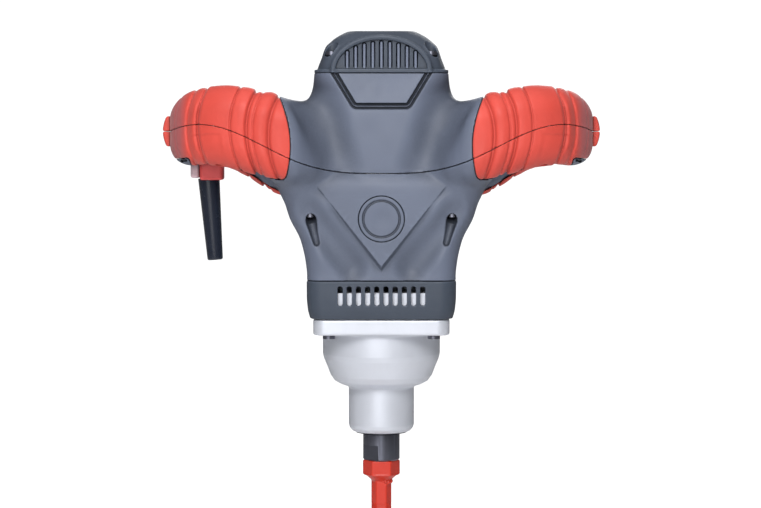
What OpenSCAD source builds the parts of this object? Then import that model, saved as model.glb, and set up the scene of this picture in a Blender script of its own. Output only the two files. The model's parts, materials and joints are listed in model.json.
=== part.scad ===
// Two-handed power mixer: a universal motor above a two-stage gear case, two ring handles,
// and a screw-in mixing paddle. The origin is the centre of the neck collar on the spindle
// axis. +Z points up to the motor cap, and -Y is the front of the machine. Millimetres.

/* [Motor housing] */
// Half width of the motor column above the vent collar
column_half = 49.5; // [49:0.1:50]
// Wall thickness of the moulded shells
wall = 3; // [2.8:0.1:3.2]
// Height of the seam under the motor cap
cap_seam_z = 226.5; // [226:0.5:227]
// Height of the top of the motor cap
cap_top_z = 255; // [254:0.5:257]
// Height of the lower seam, where the vent collar starts
collar_seam_z = 88.7; // [88.5:0.1:89]
// Number of slots in each face of the vent collar
collar_slots = 10; // [8:1:10]
// Number of slots in each face of the motor cap
cap_slots = 9; // [7:2:9]

/* [Handles] */
// Distance from the spindle axis to the outside of a ring handle
handle_reach = 144; // [143:0.5:145]
// Half depth of a ring handle, front to back
handle_half_depth = 68; // [67:0.5:69]
// Half height of the handle bar
bar_half_height = 25.8; // [25.5:0.1:26]
// Half thickness of the handle bar in plan
bar_half_thick = 17; // [16.5:0.5:17]
// Thickness of the soft grip over the bar
grip_thick = 3; // [2.8:0.1:3.2]

/* [Gear case] */
// Outside diameter of the neck collar
neck_d = 44; // [43:0.5:45]
// Length of the straight part of the neck collar
neck_len = 26; // [25:1:27]
// Half width of the square flange
flange_half = 45.5; // [45:0.5:46]
// Largest outside radius of the bowl
bowl_r = 39.7; // [39:0.1:40]

/* [Gears] */
// Direction of the layshaft from the spindle axis, in degrees
layshaft_angle = 45; // [40:5:50]
// Free play between meshing teeth
backlash = 0.09; // [0.09:0.01:0.12]

/* [Paddle] */
// Overall length of the paddle below the spindle
paddle_len = 400; // [380:10:420]
// Outside diameter of the mixing basket
basket_d = 105; // [100:1:110]
// Width across flats of the hexagonal rod
rod_flats = 12; // [11:1:12]
// Width across flats of the paddle nut
nut_flats = 22; // [21:1:22]

/* [Hidden] */
$fn = 64;

shell_grey = "#5b6575";
cap_grey = "#48525f";
grip_red = "#e2453d";
paint_red = "#dc4334";
cast_alloy = "#c9ccd6";
dark_steel = "#2f3238";
bright_steel = "#b4b8be";
black = "#1b1c20";
copper = "#b4673a";
brass = "#c5a253";

gap = 0.2;              // gap between moulded parts that meet
seat_gap = 0.3;         // gap round parts that sit in a moulding
run_gap = 0.05;         // radial gap of a running fit

// ---- Heights of the gear case, from the centre of the neck collar ----
neck_r = neck_d / 2;
neck_end_z = -neck_len / 2 - 5;
shoulder_z = neck_len / 2;
bowl_wide_z = 36;
flange_z = 52.5;
flange_top_z = 63;
gasket_thick = 0.4;
plate_z = flange_top_z + gasket_thick;
spindle_end_z = -36.4;
spindle_r = 12.5;

// ---- Shared outlines ----
// Signed power, for superellipses
function spow(v, e) = (v < 0 ? -1 : 1) * pow(abs(v), e);
// A point of a superellipse with half axes a and b and exponent n
function se_point(a, b, n, t) = [a * spow(cos(t), 2 / n), b * spow(sin(t), 2 / n)];
function blend(t) = let (c = min(1, max(0, t))) c * c * (3 - 2 * c);

// A closed solid through a list of rings, each with the same number of points
module loft(rings) {
    m = len(rings[0]);
    last = len(rings) - 1;
    side = [
        for (i = [0:last - 1], j = [0:m - 1])
            let (a = i * m + j, b = i * m + (j + 1) % m)
            each [[a, a + m, b + m], [a, b + m, b]]
    ];
    polyhedron(
        points = [for (r = rings, p = r) p],
        faces = concat([[for (j = [0:m - 1]) j]], side, [[for (j = [m - 1:-1:0]) last * m + j]]),
        convexity = 6
    );
}

// A square with rounded corners, from squares and circles so that it stays exact
module rounded_square(half, r) {
    square([2 * half, 2 * (half - r)], center = true);
    square([2 * (half - r), 2 * half], center = true);
    for (x = [-1, 1], y = [-1, 1])
        translate([x * (half - r), y * (half - r)]) circle(r);
}

module ring(od, id, h) {
    difference() {
        cylinder(d = od, h = h);
        translate([0, 0, -1]) cylinder(d = id, h = h + 2);
    }
}

module at_corners(x, y) {
    for (i = [-1, 1], j = [-1, 1]) translate([i * x, j * y, 0]) children();
}

// ---- The parting line between the upper and lower shells ----
part_low_z = 160;
part_rise = 32.2;
part_reach = 120;
function part_z(x) = part_low_z + part_rise * pow((1 - cos(180 * x / part_reach)) / 2, 1.7);
part_steps = 11;
part_far = 165;
part_curve = [for (i = [-part_steps:part_steps]) let (x = part_far * i / part_steps) [x, part_z(x)]];

// Everything above (or below) the parting line, moved up by shift
module above_parting(shift) {
    far = 300;
    rotate([90, 0, 0]) linear_extrude(height = 240, center = true)
        polygon(concat([for (p = part_curve) [p[0], p[1] + shift]],
                       [[part_far, far], [-part_far, far]]));
}
module below_parting(shift) {
    rotate([90, 0, 0]) linear_extrude(height = 240, center = true)
        polygon(concat([for (p = part_curve) [p[0], p[1] + shift]],
                       [[part_far, 0], [-part_far, 0]]));
}

// ---- The motor column ----
column_n = 4.4;
// [height, half size] of the column, with a waist under the cap
column_profile = [
    [collar_seam_z + gap, column_half], [110, column_half], [125, column_half + 1],
    [175, column_half + 1], [200, column_half], [214, 47.4], [222, 46.2], [cap_seam_z, 45.5]
];
module column(inset, low_z, high_z) {
    facets = 28;
    inner = [for (p = column_profile) if (p[0] > low_z && p[0] < high_z) p];
    levels = concat([[low_z, lookup(low_z, column_profile)]], inner,
                    [[high_z, lookup(high_z, column_profile)]]);
    loft([
        for (p = levels)
            [for (j = [0:facets - 1])
                let (q = se_point(p[1] - inset, p[1] - inset, column_n, 360 * j / facets))
                [q[0], q[1], p[0]]]
    ]);
}

// ---- The ring handles ----
loop_centre_x = 62;
root_x = 34;
root_y = 30;
bar_line_x = handle_reach - bar_half_thick - loop_centre_x;
bar_line_y = handle_half_depth - bar_half_thick;
loop_n = 2.7;
arc_steps = 9;
// Plan of the bar's centre line for the right handle, front root to rear root
loop_plan = concat(
    [[root_x, -root_y], [48, -43]],
    [for (i = [0:arc_steps])
        let (q = se_point(bar_line_x, bar_line_y, loop_n, -90 + 180 * i / arc_steps))
        [loop_centre_x + q[0], q[1]]],
    [[48, 43], [root_x, root_y]]
);
bar_top_z = 191.6;
// Height of the centre line: it drops towards the column, and further at the rear
function bar_z(x, y) =
    bar_top_z - 2 * blend((x - 116) / 22) - 17 * blend((112 - x) / 90)
    - (y > 0 ? 15 * blend((112 - x) / 44) : 0);
// Half height of the bar, which grows towards the column
function bar_half(x) = bar_half_height + 2.4 * blend((112 - x) / 60);
// Direction of the centre line at point i of the plan
function plan_dir(i) =
    let (a = loop_plan[max(0, i - 1)], b = loop_plan[min(len(loop_plan) - 1, i + 1)], d = b - a)
    d / norm(d);
bar_n = 2.5;
module handle_bar(inset, first = 0, last = len(loop_plan) - 1) {
    facets = 14;
    loft([
        for (i = [first:last])
            let (c = loop_plan[i], d = plan_dir(i), z = bar_z(c[0], c[1]))
            [for (j = [0:facets - 1])
                let (q = se_point(bar_half_thick - inset, bar_half(c[0]) - inset, bar_n,
                                  360 * j / facets))
                [c[0] - q[0] * d[1], c[1] + q[0] * d[0], z + q[1]]]
    ]);
}
// A web that flares from the column out to each bar root
module root_web(inset) {
    foot = [36, 34, 110];
    knee = [46, 36, 134];
    arm = [61, 40, 168];
    for (y = [-1, 1]) {
        hull() {
            translate([foot[0], y * foot[1], foot[2]]) sphere(r = 14.5 - inset, $fn = 12);
            translate([knee[0], y * knee[1], knee[2]]) sphere(r = 16 - inset, $fn = 12);
            translate([34, y * 34, 190]) sphere(r = 13 - inset, $fn = 12);
        }
        hull() {
            translate([knee[0], y * knee[1], knee[2]]) sphere(r = 16 - inset, $fn = 12);
            translate([arm[0], y * arm[1], arm[2]]) sphere(r = 16 - inset, $fn = 12);
            translate([34, y * 34, 190]) sphere(r = 13 - inset, $fn = 12);
        }
    }
}
module both_sides() {
    for (side = [0, 1]) mirror([side, 0, 0]) children();
}
module housing_outside(inset, low_z, high_z) {
    column(inset, low_z, high_z);
    both_sides() {
        handle_bar(grip_thick + inset);
        root_web(inset);
    }
}
// Both shells as one hollow body, with a thick deck under the motor cap
deck_z = cap_seam_z - 12;
module hollow_housing() {
    difference() {
        housing_outside(0, collar_seam_z + gap, cap_seam_z - gap);
        column(wall, collar_seam_z - 2, deck_z);
        both_sides() handle_bar(grip_thick + wall, 1, len(loop_plan) - 2);
        both_sides() root_web(wall);
    }
}

// Room for the trigger and the lock button in the inner face of the right bar
trigger_x = [72, 106];
trigger_z = [176, 200];
module trigger_opening() {
    translate([trigger_x[0] - 0.6, -42, trigger_z[0] - 0.6])
        cube([trigger_x[1] - trigger_x[0] + 3.6, 20, trigger_z[1] - trigger_z[0] + 1.2]);
    translate([trigger_pivot[0], trigger_pivot[1], trigger_z[0] - 2.2])
        cylinder(r = pin_r + run_gap, h = trigger_z[1] - trigger_z[0] + 4.4);
    translate([lock_x, -43.4, lock_z]) rotate([-90, 0, 0]) cylinder(r = lock_r + seat_gap, h = 26);
    translate([lock_x, -43.4, lock_z]) rotate([-90, 0, 0]) cylinder(r = lock_r + 1.9, h = 2.8);
}

// Screws that join the two shells, driven upwards: [x, y, height of the head, length]
body_screw = [47, 43, 134, 50];
bar_screw = [105, 47, 176, 28];
screw_r = 2;
head_r = 4;
module screw_clearance(p) {
    at_corners(p[0], p[1]) {
        translate([0, 0, p[2] - 60]) cylinder(r = head_r + 0.4, h = 60.3);
        translate([0, 0, p[2]]) cylinder(r = screw_r + seat_gap, h = p[3] + 2);
    }
}
module screw_post(p, r, low, high) {
    at_corners(p[0], p[1]) translate([0, 0, low]) cylinder(r = r, h = high - low);
}
module screw_posts(inset) {
    intersection() {
        housing_outside(inset, collar_seam_z + gap, cap_seam_z - gap);
        union() {
            screw_post(body_screw, 6.5, body_screw[2] - 6, 200);
            screw_post(bar_screw, 6.5, bar_screw[2] - 8, 215);
            // Posts for the screws that come up through the gear case
            at_corners(case_screw, case_screw) translate([0, 0, collar_seam_z + gap])
                cylinder(r = case_post_r, h = case_post_len);
        }
    }
}

module upper_housing() {
    $fn = 16;
    color(shell_grey) difference() {
        union() {
            difference() {
                hollow_housing();
                // Mouth of the motor column, with a ledge for the bearing bridge
                translate([0, 0, deck_z - 1]) linear_extrude(height = 20) rounded_square(36, 12);
                translate([0, 0, bridge_z - gap]) linear_extrude(height = 20) rounded_square(40, 14);
            }
            screw_posts(wall / 2);
            at_corners(cap_screw, cap_screw) translate([0, 0, deck_z])
                cylinder(r = 5, h = cap_seam_z - gap - deck_z);
        }
        below_parting(gap / 2);
        screw_clearance(body_screw);
        screw_clearance(bar_screw);
        at_corners(cap_screw, cap_screw) translate([0, 0, deck_z + 3]) cylinder(r = 2.2, h = 12);
        trigger_opening();
        for (y = [-1, 1]) service_window(y);
        translate([0, dial_y, dial_z - seat_gap])
            cylinder(r = dial_r + 0.6, h = dial_h + 2 * seat_gap);
    }
}

module lower_housing() {
    $fn = 16;
    color(shell_grey) difference() {
        union() {
            hollow_housing();
            screw_posts(wall / 2);
            // Ribs that centre the stator
            for (a = [0, 90, 180, 270]) rotate(a) translate([stator_r + seat_gap, -2, 112])
                cube([column_half - wall - stator_r + 1, 4, 40]);
            shield_panel();
        }
        above_parting(-gap / 2);
        screw_clearance(body_screw);
        screw_clearance(bar_screw);
        at_corners(case_screw, case_screw) translate([0, 0, collar_seam_z - 1])
            cylinder(r = case_shank_r + seat_gap, h = case_post_len);
        trigger_opening();
        badge_disc(0.15, 2);
        cord_entry(gap);
        along_cord() translate([0, 0, -32]) cylinder(r = cord_r + seat_gap, h = 32);
    }
}

// ---- Front shield and blank badge ----
shield_half = 47;
shield_top_z = 160;
shield_tip_z = 96;
shield_thick = 2.4;
module shield_panel() {
    front = -column_half - shield_thick + 0.2;
    translate([0, front, 0]) rotate([-90, 0, 0]) linear_extrude(height = shield_thick + 1.6)
        polygon([[-shield_half, -shield_top_z], [-shield_half + 3, -shield_top_z - 6],
                 [shield_half - 3, -shield_top_z - 6], [shield_half, -shield_top_z],
                 [0, -shield_tip_z]]);
}
badge_r = 15;
badge_z = 130;
module badge_disc(extra, deep) {
    translate([0, -column_half - shield_thick - 1, badge_z]) rotate([-90, 0, 0])
        cylinder(r = badge_r + extra, h = deep, $fn = 48);
}
module badge() {
    color(shell_grey) badge_disc(0, 1.9);
}

// ---- Service covers over the carbon brushes, front and rear ----
cover_top_half = 30;
cover_foot_half = 17;
cover_z = [203, 223];
module cover_outline(grow) {
    polygon([[-cover_top_half - grow, cover_z[1] + grow], [cover_top_half + grow, cover_z[1] + grow],
             [cover_foot_half + grow, cover_z[0] - grow], [-cover_foot_half - grow, cover_z[0] - grow]]);
}
module service_window(y) {
    translate([0, y * 47, 0]) rotate([90, 0, 0]) linear_extrude(height = 14, center = true)
        cover_outline(0);
}
module service_cover(y) {
    color(shell_grey) intersection() {
        column(0.4, cover_z[0] - 2, cap_seam_z - gap);
        translate([0, y * 45.5, 0]) rotate([90, 0, 0]) linear_extrude(height = 7, center = true)
            cover_outline(-gap);
    }
}

// A round-ended slot that stands on z = 0 and runs through in Y
module upright_slot(width, height, depth) {
    r = width / 2;
    rotate([90, 0, 0]) linear_extrude(height = depth, center = true) {
        translate([-r, r]) square([width, height - width]);
        translate([0, r]) circle(r);
        translate([0, height - r]) circle(r);
    }
}

// ---- Motor cap ----
cap_screw = 33;
cap_screw_z = 238;
// [height above the seam as a share, half size]
cap_profile = [[0, 45.6], [0.08, 44], [0.5, 40], [0.66, 38], [0.77, 34.6], [0.9, 29.5], [1, 23]];
module cap_solid(inset) {
    facets = 28;
    rise = cap_top_z - cap_seam_z;
    loft([
        for (p = cap_profile)
            [for (j = [0:facets - 1])
                let (q = se_point(p[1] - inset, p[1] - inset, 3.2, 360 * j / facets))
                [q[0], q[1], cap_seam_z + p[0] * (rise - inset)]]
    ]);
}
cap_slot_pitch = 5.7;
module top_cap() {
    middle = (cap_slots - 1) / 2;
    color(cap_grey) difference() {
        union() {
            difference() {
                cap_solid(0);
                translate([0, 0, -0.01]) cap_solid(wall);
            }
            intersection() {
                cap_solid(1);
                at_corners(cap_screw, cap_screw) translate([0, 0, cap_seam_z])
                    cylinder(r = 6, h = 12);
            }
        }
        for (y = [-1, 1], i = [-middle:middle])
            translate([i * cap_slot_pitch, y * 38, cap_seam_z + 3])
                upright_slot(2.6, 17.4 - 0.55 * i * i, 22);
        at_corners(cap_screw, cap_screw) translate([0, 0, cap_screw_z]) cylinder(r = 4.2, h = 30);
        at_corners(cap_screw, cap_screw) translate([0, 0, cap_seam_z - 1]) cylinder(r = 2.2, h = 30);
    }
}
module top_cap_screws() {
    color(dark_steel) at_corners(cap_screw, cap_screw) {
        translate([0, 0, cap_screw_z + 0.2]) pan_head(3.8, 2.6);
        translate([0, 0, cap_seam_z - 7]) cylinder(r = 2, h = cap_screw_z - cap_seam_z + 7.3);
    }
}
// A round screw head with a hexagonal socket
module pan_head(r, h) {
    difference() {
        cylinder(r = r, h = h);
        translate([0, 0, h - 1.6]) cylinder(r = r * 0.5, h = 2, $fn = 6);
    }
}
// A screw driven upwards: head below, shank above
module upward_screw(head_r, shank_r, length) {
    mirror([0, 0, 1]) pan_head(head_r, 3);
    cylinder(r = shank_r, h = length);
}
module housing_screws() {
    color(dark_steel) {
        at_corners(body_screw[0], body_screw[1]) translate([0, 0, body_screw[2]])
            upward_screw(head_r, screw_r, body_screw[3]);
        at_corners(bar_screw[0], bar_screw[1]) translate([0, 0, bar_screw[2]])
            upward_screw(head_r, screw_r, bar_screw[3]);
    }
}

// ---- Soft grips and bumpers ----
grip_first = 2;
module grip_shell() {
    last = len(loop_plan) - 1 - grip_first;
    difference() {
        handle_bar(0, grip_first, last);
        handle_bar(grip_thick - gap / 2, grip_first - 1, last + 1);
        // The inner face of the ring stays bare
        translate([loop_centre_x, 0, 190]) linear_extrude(height = 34, center = true)
            polygon([for (t = [0:12:348])
                se_point(bar_line_x - bar_half_thick + 7, bar_line_y - bar_half_thick + 7, loop_n, t)]);
        for (y = [-1, 1]) translate([bar_screw[0], y * bar_screw[1], 150])
            cylinder(r = head_r + 1, h = 30);
        bumper_block(gap);
        root_web(-gap);
    }
}
module grip(side, upper) {
    color(grip_red) mirror([side, 0, 0]) difference() {
        grip_shell();
        if (upper) below_parting(gap / 2);
        else above_parting(-gap / 2);
        if (side == 0) trigger_opening();
        if (side == 1 && !upper) mirror([1, 0, 0]) {
            cord_entry(gap);
            along_cord() translate([0, 0, -32]) cylinder(r = cord_r + seat_gap, h = 32);
        }
    }
}
bumper_z = [177.6, 198.3];
bumper_proud = 4.4;
module bumper_block(grow) {
    translate([handle_reach + bumper_proud - 9 - grow, -14 - grow, bumper_z[0] - grow])
        cube([12, 28 + 2 * grow, bumper_z[1] - bumper_z[0] + 2 * grow]);
}
module bumpers(side) {
    mid = (bumper_z[0] + bumper_z[1]) / 2;
    face_x = handle_reach + bumper_proud;
    color(grip_red) mirror([side, 0, 0]) for (half = [0, 1])
        translate([0, 0, mid]) mirror([0, 0, half]) rotate([90, 0, 0])
            linear_extrude(height = 28, center = true)
                polygon([[handle_reach - 2.6, gap / 2], [face_x, gap / 2], [face_x - 0.6, 5],
                         [face_x - 2, bumper_z[1] - mid], [handle_reach - 2.6, bumper_z[1] - mid]]);
}

// ---- Vent collar ----
collar_half = 49.8;
slot_w = 3.4;
slot_pitch = 6.2;
slot_z = [72.3, 86.1];
module vent_collar() {
    middle = (collar_slots - 1) / 2;
    color(cap_grey) difference() {
        translate([0, 0, flange_top_z + gap])
            linear_extrude(height = collar_seam_z - flange_top_z - gap) difference() {
                rounded_square(collar_half, 16);
                rounded_square(collar_half - 5.6, 12);
            }
        for (i = [-middle:middle]) translate([i * slot_pitch, 0, slot_z[0]])
            upright_slot(slot_w, slot_z[1] - slot_z[0], 3 * collar_half);
    }
}

// ---- Cord entry under the left handle ----
cord_x = -117;
cord_y = -6;
cord_tilt = 4.3;
cord_clamp_z = 155;
cord_r = 4;
sleeve_len = 53;
module along_cord() {
    translate([cord_x, cord_y, cord_clamp_z]) rotate([0, 180 - cord_tilt, 0]) children();
}
clamp_size = [22, 18, 15];
module cord_entry(grow) {
    translate([cord_x - 12 - grow, cord_y - 9 - grow, cord_clamp_z - 4])
        cube([clamp_size[0] + 2 * grow, clamp_size[1] + 2 * grow, clamp_size[2] + 4 + grow]);
}
module cord_clamp() {
    color(grip_red) difference() {
        translate([cord_x - 12, cord_y - 9, cord_clamp_z]) cube(clamp_size);
        along_cord() translate([0, 0, -30]) cylinder(r = cord_r + seat_gap, h = 60);
    }
}
module cord_sleeve() {
    color(black) difference() {
        along_cord() translate([0, 0, 1.2]) cylinder(r1 = 7.3, r2 = 5.2, h = sleeve_len);
        along_cord() translate([0, 0, -1]) cylinder(r = cord_r + run_gap, h = sleeve_len + 10);
    }
}
module power_cord() {
    color(black) along_cord() translate([0, 0, -30]) cylinder(r = cord_r, h = sleeve_len + 28);
}

// ---- Controls ----
lock_x = 64;
lock_z = 184;
lock_r = 5;
pin_r = 1.5;
trigger_pivot = [trigger_x[1] - 1, -36];
module trigger() {
    color(black) difference() {
        translate([0, 0, trigger_z[0]]) linear_extrude(height = trigger_z[1] - trigger_z[0])
            difference() {
                union() {
                    translate(trigger_pivot) circle(r = 4);
                    polygon([[trigger_x[0], -39], [trigger_x[0], -29], [trigger_x[0] + 4, -25.5],
                             [trigger_x[0] + 12, -26.5], [trigger_x[0] + 24, -29],
                             [trigger_x[1] - 4, -31.5], [trigger_x[1] - 4, -38.5]]);
                }
                translate(trigger_pivot) circle(r = pin_r + run_gap);
            }
    }
}
module trigger_pin() {
    color(bright_steel) translate([trigger_pivot[0], trigger_pivot[1], trigger_z[0] - 2])
        cylinder(r = pin_r, h = trigger_z[1] - trigger_z[0] + 4);
}
module lock_button() {
    color(black) translate([lock_x, -41, lock_z]) rotate([-90, 0, 0]) {
        cylinder(r = lock_r, h = 14);
        translate([0, 0, -2]) cylinder(r = lock_r + 1.5, h = 2);
    }
}
dial_r = 13;
dial_h = 8;
dial_y = 41;
dial_z = 189;
module speed_dial() {
    flutes = 20;
    color(black) translate([0, dial_y, dial_z]) difference() {
        cylinder(r = dial_r, h = dial_h);
        for (i = [0:flutes - 1]) rotate(360 * i / flutes) translate([dial_r + 0.6, 0, -1])
            cylinder(r = 1.1, h = dial_h + 2, $fn = 16);
        translate([0, 0, -1]) cylinder(r = 2 + run_gap, h = dial_h + 2);
    }
}
module switch_body() {
    color(black) {
        translate([72, -56.5, 180.5]) cube([24, 12.5, 13]);
        translate([75, -58.2, 182]) cube([18, 1.8, 10]);
    }
}
module control_module() {
    color(black) {
        translate([-14, 22, 186.6]) cube([28, 3, 12]);
        translate([0, dial_y, dial_z - 2]) cylinder(r = 2, h = dial_h + 3);
        translate([-3, 24.9, dial_z - 2.4]) cube([6, dial_y - 22.9, 1.6]);
    }
}

// ---- Motor ----
stator_r = 42;
stator_z = [120, 172];
stack = stator_z[1] - stator_z[0];
coil_head = 11;
bore_r = 23.4;
rotor_r = 22.8;
shaft_r = 6;
module stator_core() {
    color(bright_steel) translate([0, 0, stator_z[0]]) linear_extrude(height = stack)
        difference() {
            circle(r = stator_r);
            circle(r = bore_r);
            // Windows for the field coils on each side
            for (a = [35, 145, 215, 325]) rotate(a) translate([bore_r + 6, -5]) square([7, 10]);
        }
}
module field_coils() {
    spread = 35;
    color(copper) for (side = [0, 180]) rotate(side) {
        for (a = [spread, -spread]) rotate(a)
            translate([bore_r + 6.4, -4.4, stator_z[0] - coil_head])
                cube([6.2, 8.8, stack + 2 * coil_head]);
        for (z = [stator_z[0] - coil_head, stator_z[1] + 2]) translate([0, 0, z])
            rotate(-spread) rotate_extrude(angle = 2 * spread) translate([bore_r + 6.4, 0])
                square([6.2, coil_head - 2]);
    }
}
module armature_shaft() {
    color(bright_steel) {
        translate([0, 0, 83]) cylinder(r = shaft_r, h = 136);
        translate([0, 0, 69.4]) cylinder(r = 5, h = 13.7);
        translate([0, 0, 218.9]) cylinder(r = 4, h = 11);
        translate([0, 0, 62]) cylinder(r = 4, h = 7.5);
        translate([0, 0, 52]) linear_extrude(height = 10.2)
            gear_outline(pinion_teeth, stage_1_module, stage_1_shift, layshaft_angle, 0.8);
    }
}
rotor_slots = 12;
module armature_core() {
    color(bright_steel) translate([0, 0, stator_z[0]]) linear_extrude(height = stack)
        difference() {
            circle(r = rotor_r);
            circle(r = shaft_r + run_gap);
            for (i = [0:rotor_slots - 1]) rotate(360 * i / rotor_slots) {
                translate([rotor_r - 7, 0]) circle(r = 3);
                translate([rotor_r - 6, -0.9]) square([8, 1.8]);
            }
        }
}
module armature_windings() {
    color(copper) {
        for (z = [stator_z[0] - coil_head, stator_z[1] + 0.1]) translate([0, 0, z])
            ring(2 * (rotor_r - 1.5), 2 * (shaft_r + 0.4), coil_head - 0.1);
        for (i = [0:rotor_slots - 1]) rotate(360 * i / rotor_slots)
            translate([rotor_r - 7, 0, stator_z[0] - 0.2]) cylinder(r = 2.7, h = stack + 0.4);
    }
}
commutator_r = 15.5;
commutator_z = [198, 217];
module commutator() {
    bars = 24;
    color(copper) translate([0, 0, commutator_z[0]])
        linear_extrude(height = commutator_z[1] - commutator_z[0]) difference() {
            circle(r = commutator_r);
            circle(r = shaft_r + run_gap);
            for (i = [0:bars - 1]) rotate(360 * (i + 0.5) / bars) translate([commutator_r - 1.2, -0.3])
                square([3, 0.6]);
        }
}
fan_z = 84;
fan_h = 13;
module cooling_fan() {
    blades = 12;
    color(black) {
        difference() {
            union() {
                translate([0, 0, fan_z + fan_h - 2]) cylinder(r = 40, h = 2);
                translate([0, 0, fan_z]) cylinder(r = 11, h = fan_h);
                for (i = [0:blades - 1]) rotate(360 * i / blades) translate([10, -0.8, fan_z])
                    rotate(12) cube([28.5, 1.6, fan_h]);
            }
            translate([0, 0, fan_z - 1]) cylinder(r = shaft_r + run_gap, h = fan_h + 2);
        }
    }
}
module fan_baffle() {
    color(black) translate([0, 0, 101]) difference() {
        linear_extrude(height = 2.4) rounded_square(column_half - wall - 1.4, 24);
        translate([0, 0, -1]) cylinder(r = 33, h = 5);
        at_corners(case_screw, case_screw) translate([0, 0, -1])
            cylinder(r = case_post_r + seat_gap, h = 5);
    }
}
brush_z = 206;
brush_w = 6.3;
brush_h = 8;
module brush_box(side) {
    rotate(side) translate([-brush_w / 2, -36, brush_z]) children();
}
module brush_holders() {
    thick = 1.2;
    color(brass) for (side = [0, 180]) brush_box(side) difference() {
        translate([-thick - 0.1, 0, -thick - 0.1])
            cube([brush_w + 2 * thick + 0.2, 18.5, brush_h + 2 * thick + 0.2]);
        translate([-0.1, thick, -0.1]) cube([brush_w + 0.2, 20, brush_h + 0.2]);
    }
}
module carbon_brushes() {
    color(black) for (side = [0, 180]) rotate(side) difference() {
        translate([-brush_w / 2, -29, brush_z]) cube([brush_w, 15, brush_h]);
        translate([0, 0, brush_z - 1]) cylinder(r = commutator_r + 0.1, h = brush_h + 2);
    }
}
module brush_springs() {
    turns = 4;
    steps = 10;
    coil_r = 2.1;
    wire_r = 0.5;
    pitch = 1.1;
    sides = 6;
    color(bright_steel) for (side = [0, 180]) rotate(side)
        translate([0, -29.6, brush_z + brush_h / 2]) rotate([90, 0, 0]) loft([
            for (i = [0:turns * steps]) let (a = 360 * i / steps)
                [for (j = [0:sides - 1]) let (b = -360 * j / sides, r = coil_r + wire_r * cos(b))
                    [r * cos(a), r * sin(a), pitch * i / steps + wire_r * sin(b)]]
        ]);
}
bridge_z = cap_seam_z - 7.8;
// Bridge under the cap that carries the upper bearing and the brush holders
module bearing_bridge() {
    color(black) difference() {
        union() {
            translate([0, 0, bridge_z]) linear_extrude(height = 4) {
                square([79, 16], center = true);
                square([16, 79], center = true);
            }
            translate([0, 0, bridge_z]) cylinder(r = 15, h = 9);
            for (side = [0, 180]) rotate(side) translate([-6, -35, brush_z + brush_h + 1.6])
                cube([12, 16, 4.3]);
        }
        translate([0, 0, upper_bearing_z - gap]) cylinder(d = upper_bearing[0] + 2 * gap, h = 20);
        translate([0, 0, 200]) cylinder(r = 8, h = 40);
    }
}

// ---- Ball bearings ----
// Each size is [outside diameter, bore, width]
upper_bearing = [22, 8, 7];
lower_bearing = [30, 10, 9];
spindle_bearing = [35, 17, 10];
upper_bearing_z = 221.5;
lower_bearing_z = 70.3;
spindle_bearing_z = [-12, 8];
function race_wall(size) = 0.13 * (size[0] - size[1]);
module bearing_outer(size) {
    ring(size[0], size[0] - 2 * race_wall(size), size[2]);
}
// Inner race with its ring of balls
module bearing_inner(size) {
    mid_r = (size[0] + size[1]) / 4;
    ball_r = (size[0] - size[1]) / 4 - race_wall(size) - 0.08;
    balls = floor(180 / asin(ball_r * 1.25 / mid_r));
    ring(size[1] + 2 * race_wall(size), size[1] + 2 * run_gap, size[2]);
    for (i = [0:balls - 1]) rotate(360 * i / balls) translate([mid_r, 0, size[2] / 2])
        sphere(r = ball_r);
}
module upper_bearing_outer() {
    color(bright_steel) translate([0, 0, upper_bearing_z]) bearing_outer(upper_bearing);
}
module upper_bearing_inner() {
    color(bright_steel) translate([0, 0, upper_bearing_z]) bearing_inner(upper_bearing);
}
module lower_bearing_outer() {
    color(bright_steel) translate([0, 0, lower_bearing_z]) bearing_outer(lower_bearing);
}
module lower_bearing_inner() {
    color(bright_steel) translate([0, 0, lower_bearing_z]) bearing_inner(lower_bearing);
}
module spindle_bearings_outer() {
    color(bright_steel) for (z = spindle_bearing_z) translate([0, 0, z])
        bearing_outer(spindle_bearing);
}
module spindle_bearings_inner() {
    color(bright_steel) for (z = spindle_bearing_z) translate([0, 0, z])
        bearing_inner(spindle_bearing);
}

// ---- Gear teeth ----
// Tooth counts of the armature pinion, layshaft wheel, layshaft pinion and output wheel
pinion_teeth = 8;
wheel_teeth = 47;
layshaft_teeth = 10;
output_teeth = 34;
// Distance from the spindle axis to the layshaft axis
centre_distance = 22;
stage_1_module = 2 * centre_distance / (pinion_teeth + wheel_teeth);
stage_2_module = 2 * centre_distance / (layshaft_teeth + output_teeth);
stage_1_shift = 0.53;
stage_2_shift = 0.41;
pressure = 20;
function inv(a) = tan(a) * 180 / PI - a;
// Half the angle of a tooth at radius r, in degrees
function tooth_half(z, m, shift, r) =
    let (rb = m * z * cos(pressure) / 2, a = acos(min(1, rb / max(r, rb))))
    (90 + 2 * shift * tan(pressure) * 180 / PI) / z + inv(pressure) - inv(a)
    - backlash / (m * z) * 180 / PI;
// A gear with one tooth at the angle phase; addendum is the tooth height above the pitch circle
module gear_outline(z, m, shift, phase, addendum = 0.96) {
    root = m * (z / 2 - 1.25 + shift);
    tip = m * (z / 2 + addendum + shift);
    base = m * z * cos(pressure) / 2;
    start = max(root + 0.05, base);
    steps = 4;
    flank = [for (k = [0:steps]) start + (tip - start) * k / steps];
    up = [for (r = flank) [r, tooth_half(z, m, shift, r)]];
    one = concat([[root, tooth_half(z, m, shift, start)]], up);
    polygon([
        for (i = [0:z - 1])
            let (mid = phase + 360 * i / z)
            each concat(
                [for (p = one) [p[0] * cos(mid - p[1]), p[0] * sin(mid - p[1])]],
                [for (k = [len(one) - 1:-1:0]) let (p = one[k])
                    [p[0] * cos(mid + p[1]), p[0] * sin(mid + p[1])]]
            )
    ]);
}
module on_layshaft() {
    rotate(layshaft_angle) translate([centre_distance, 0, 0]) children();
}

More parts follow.
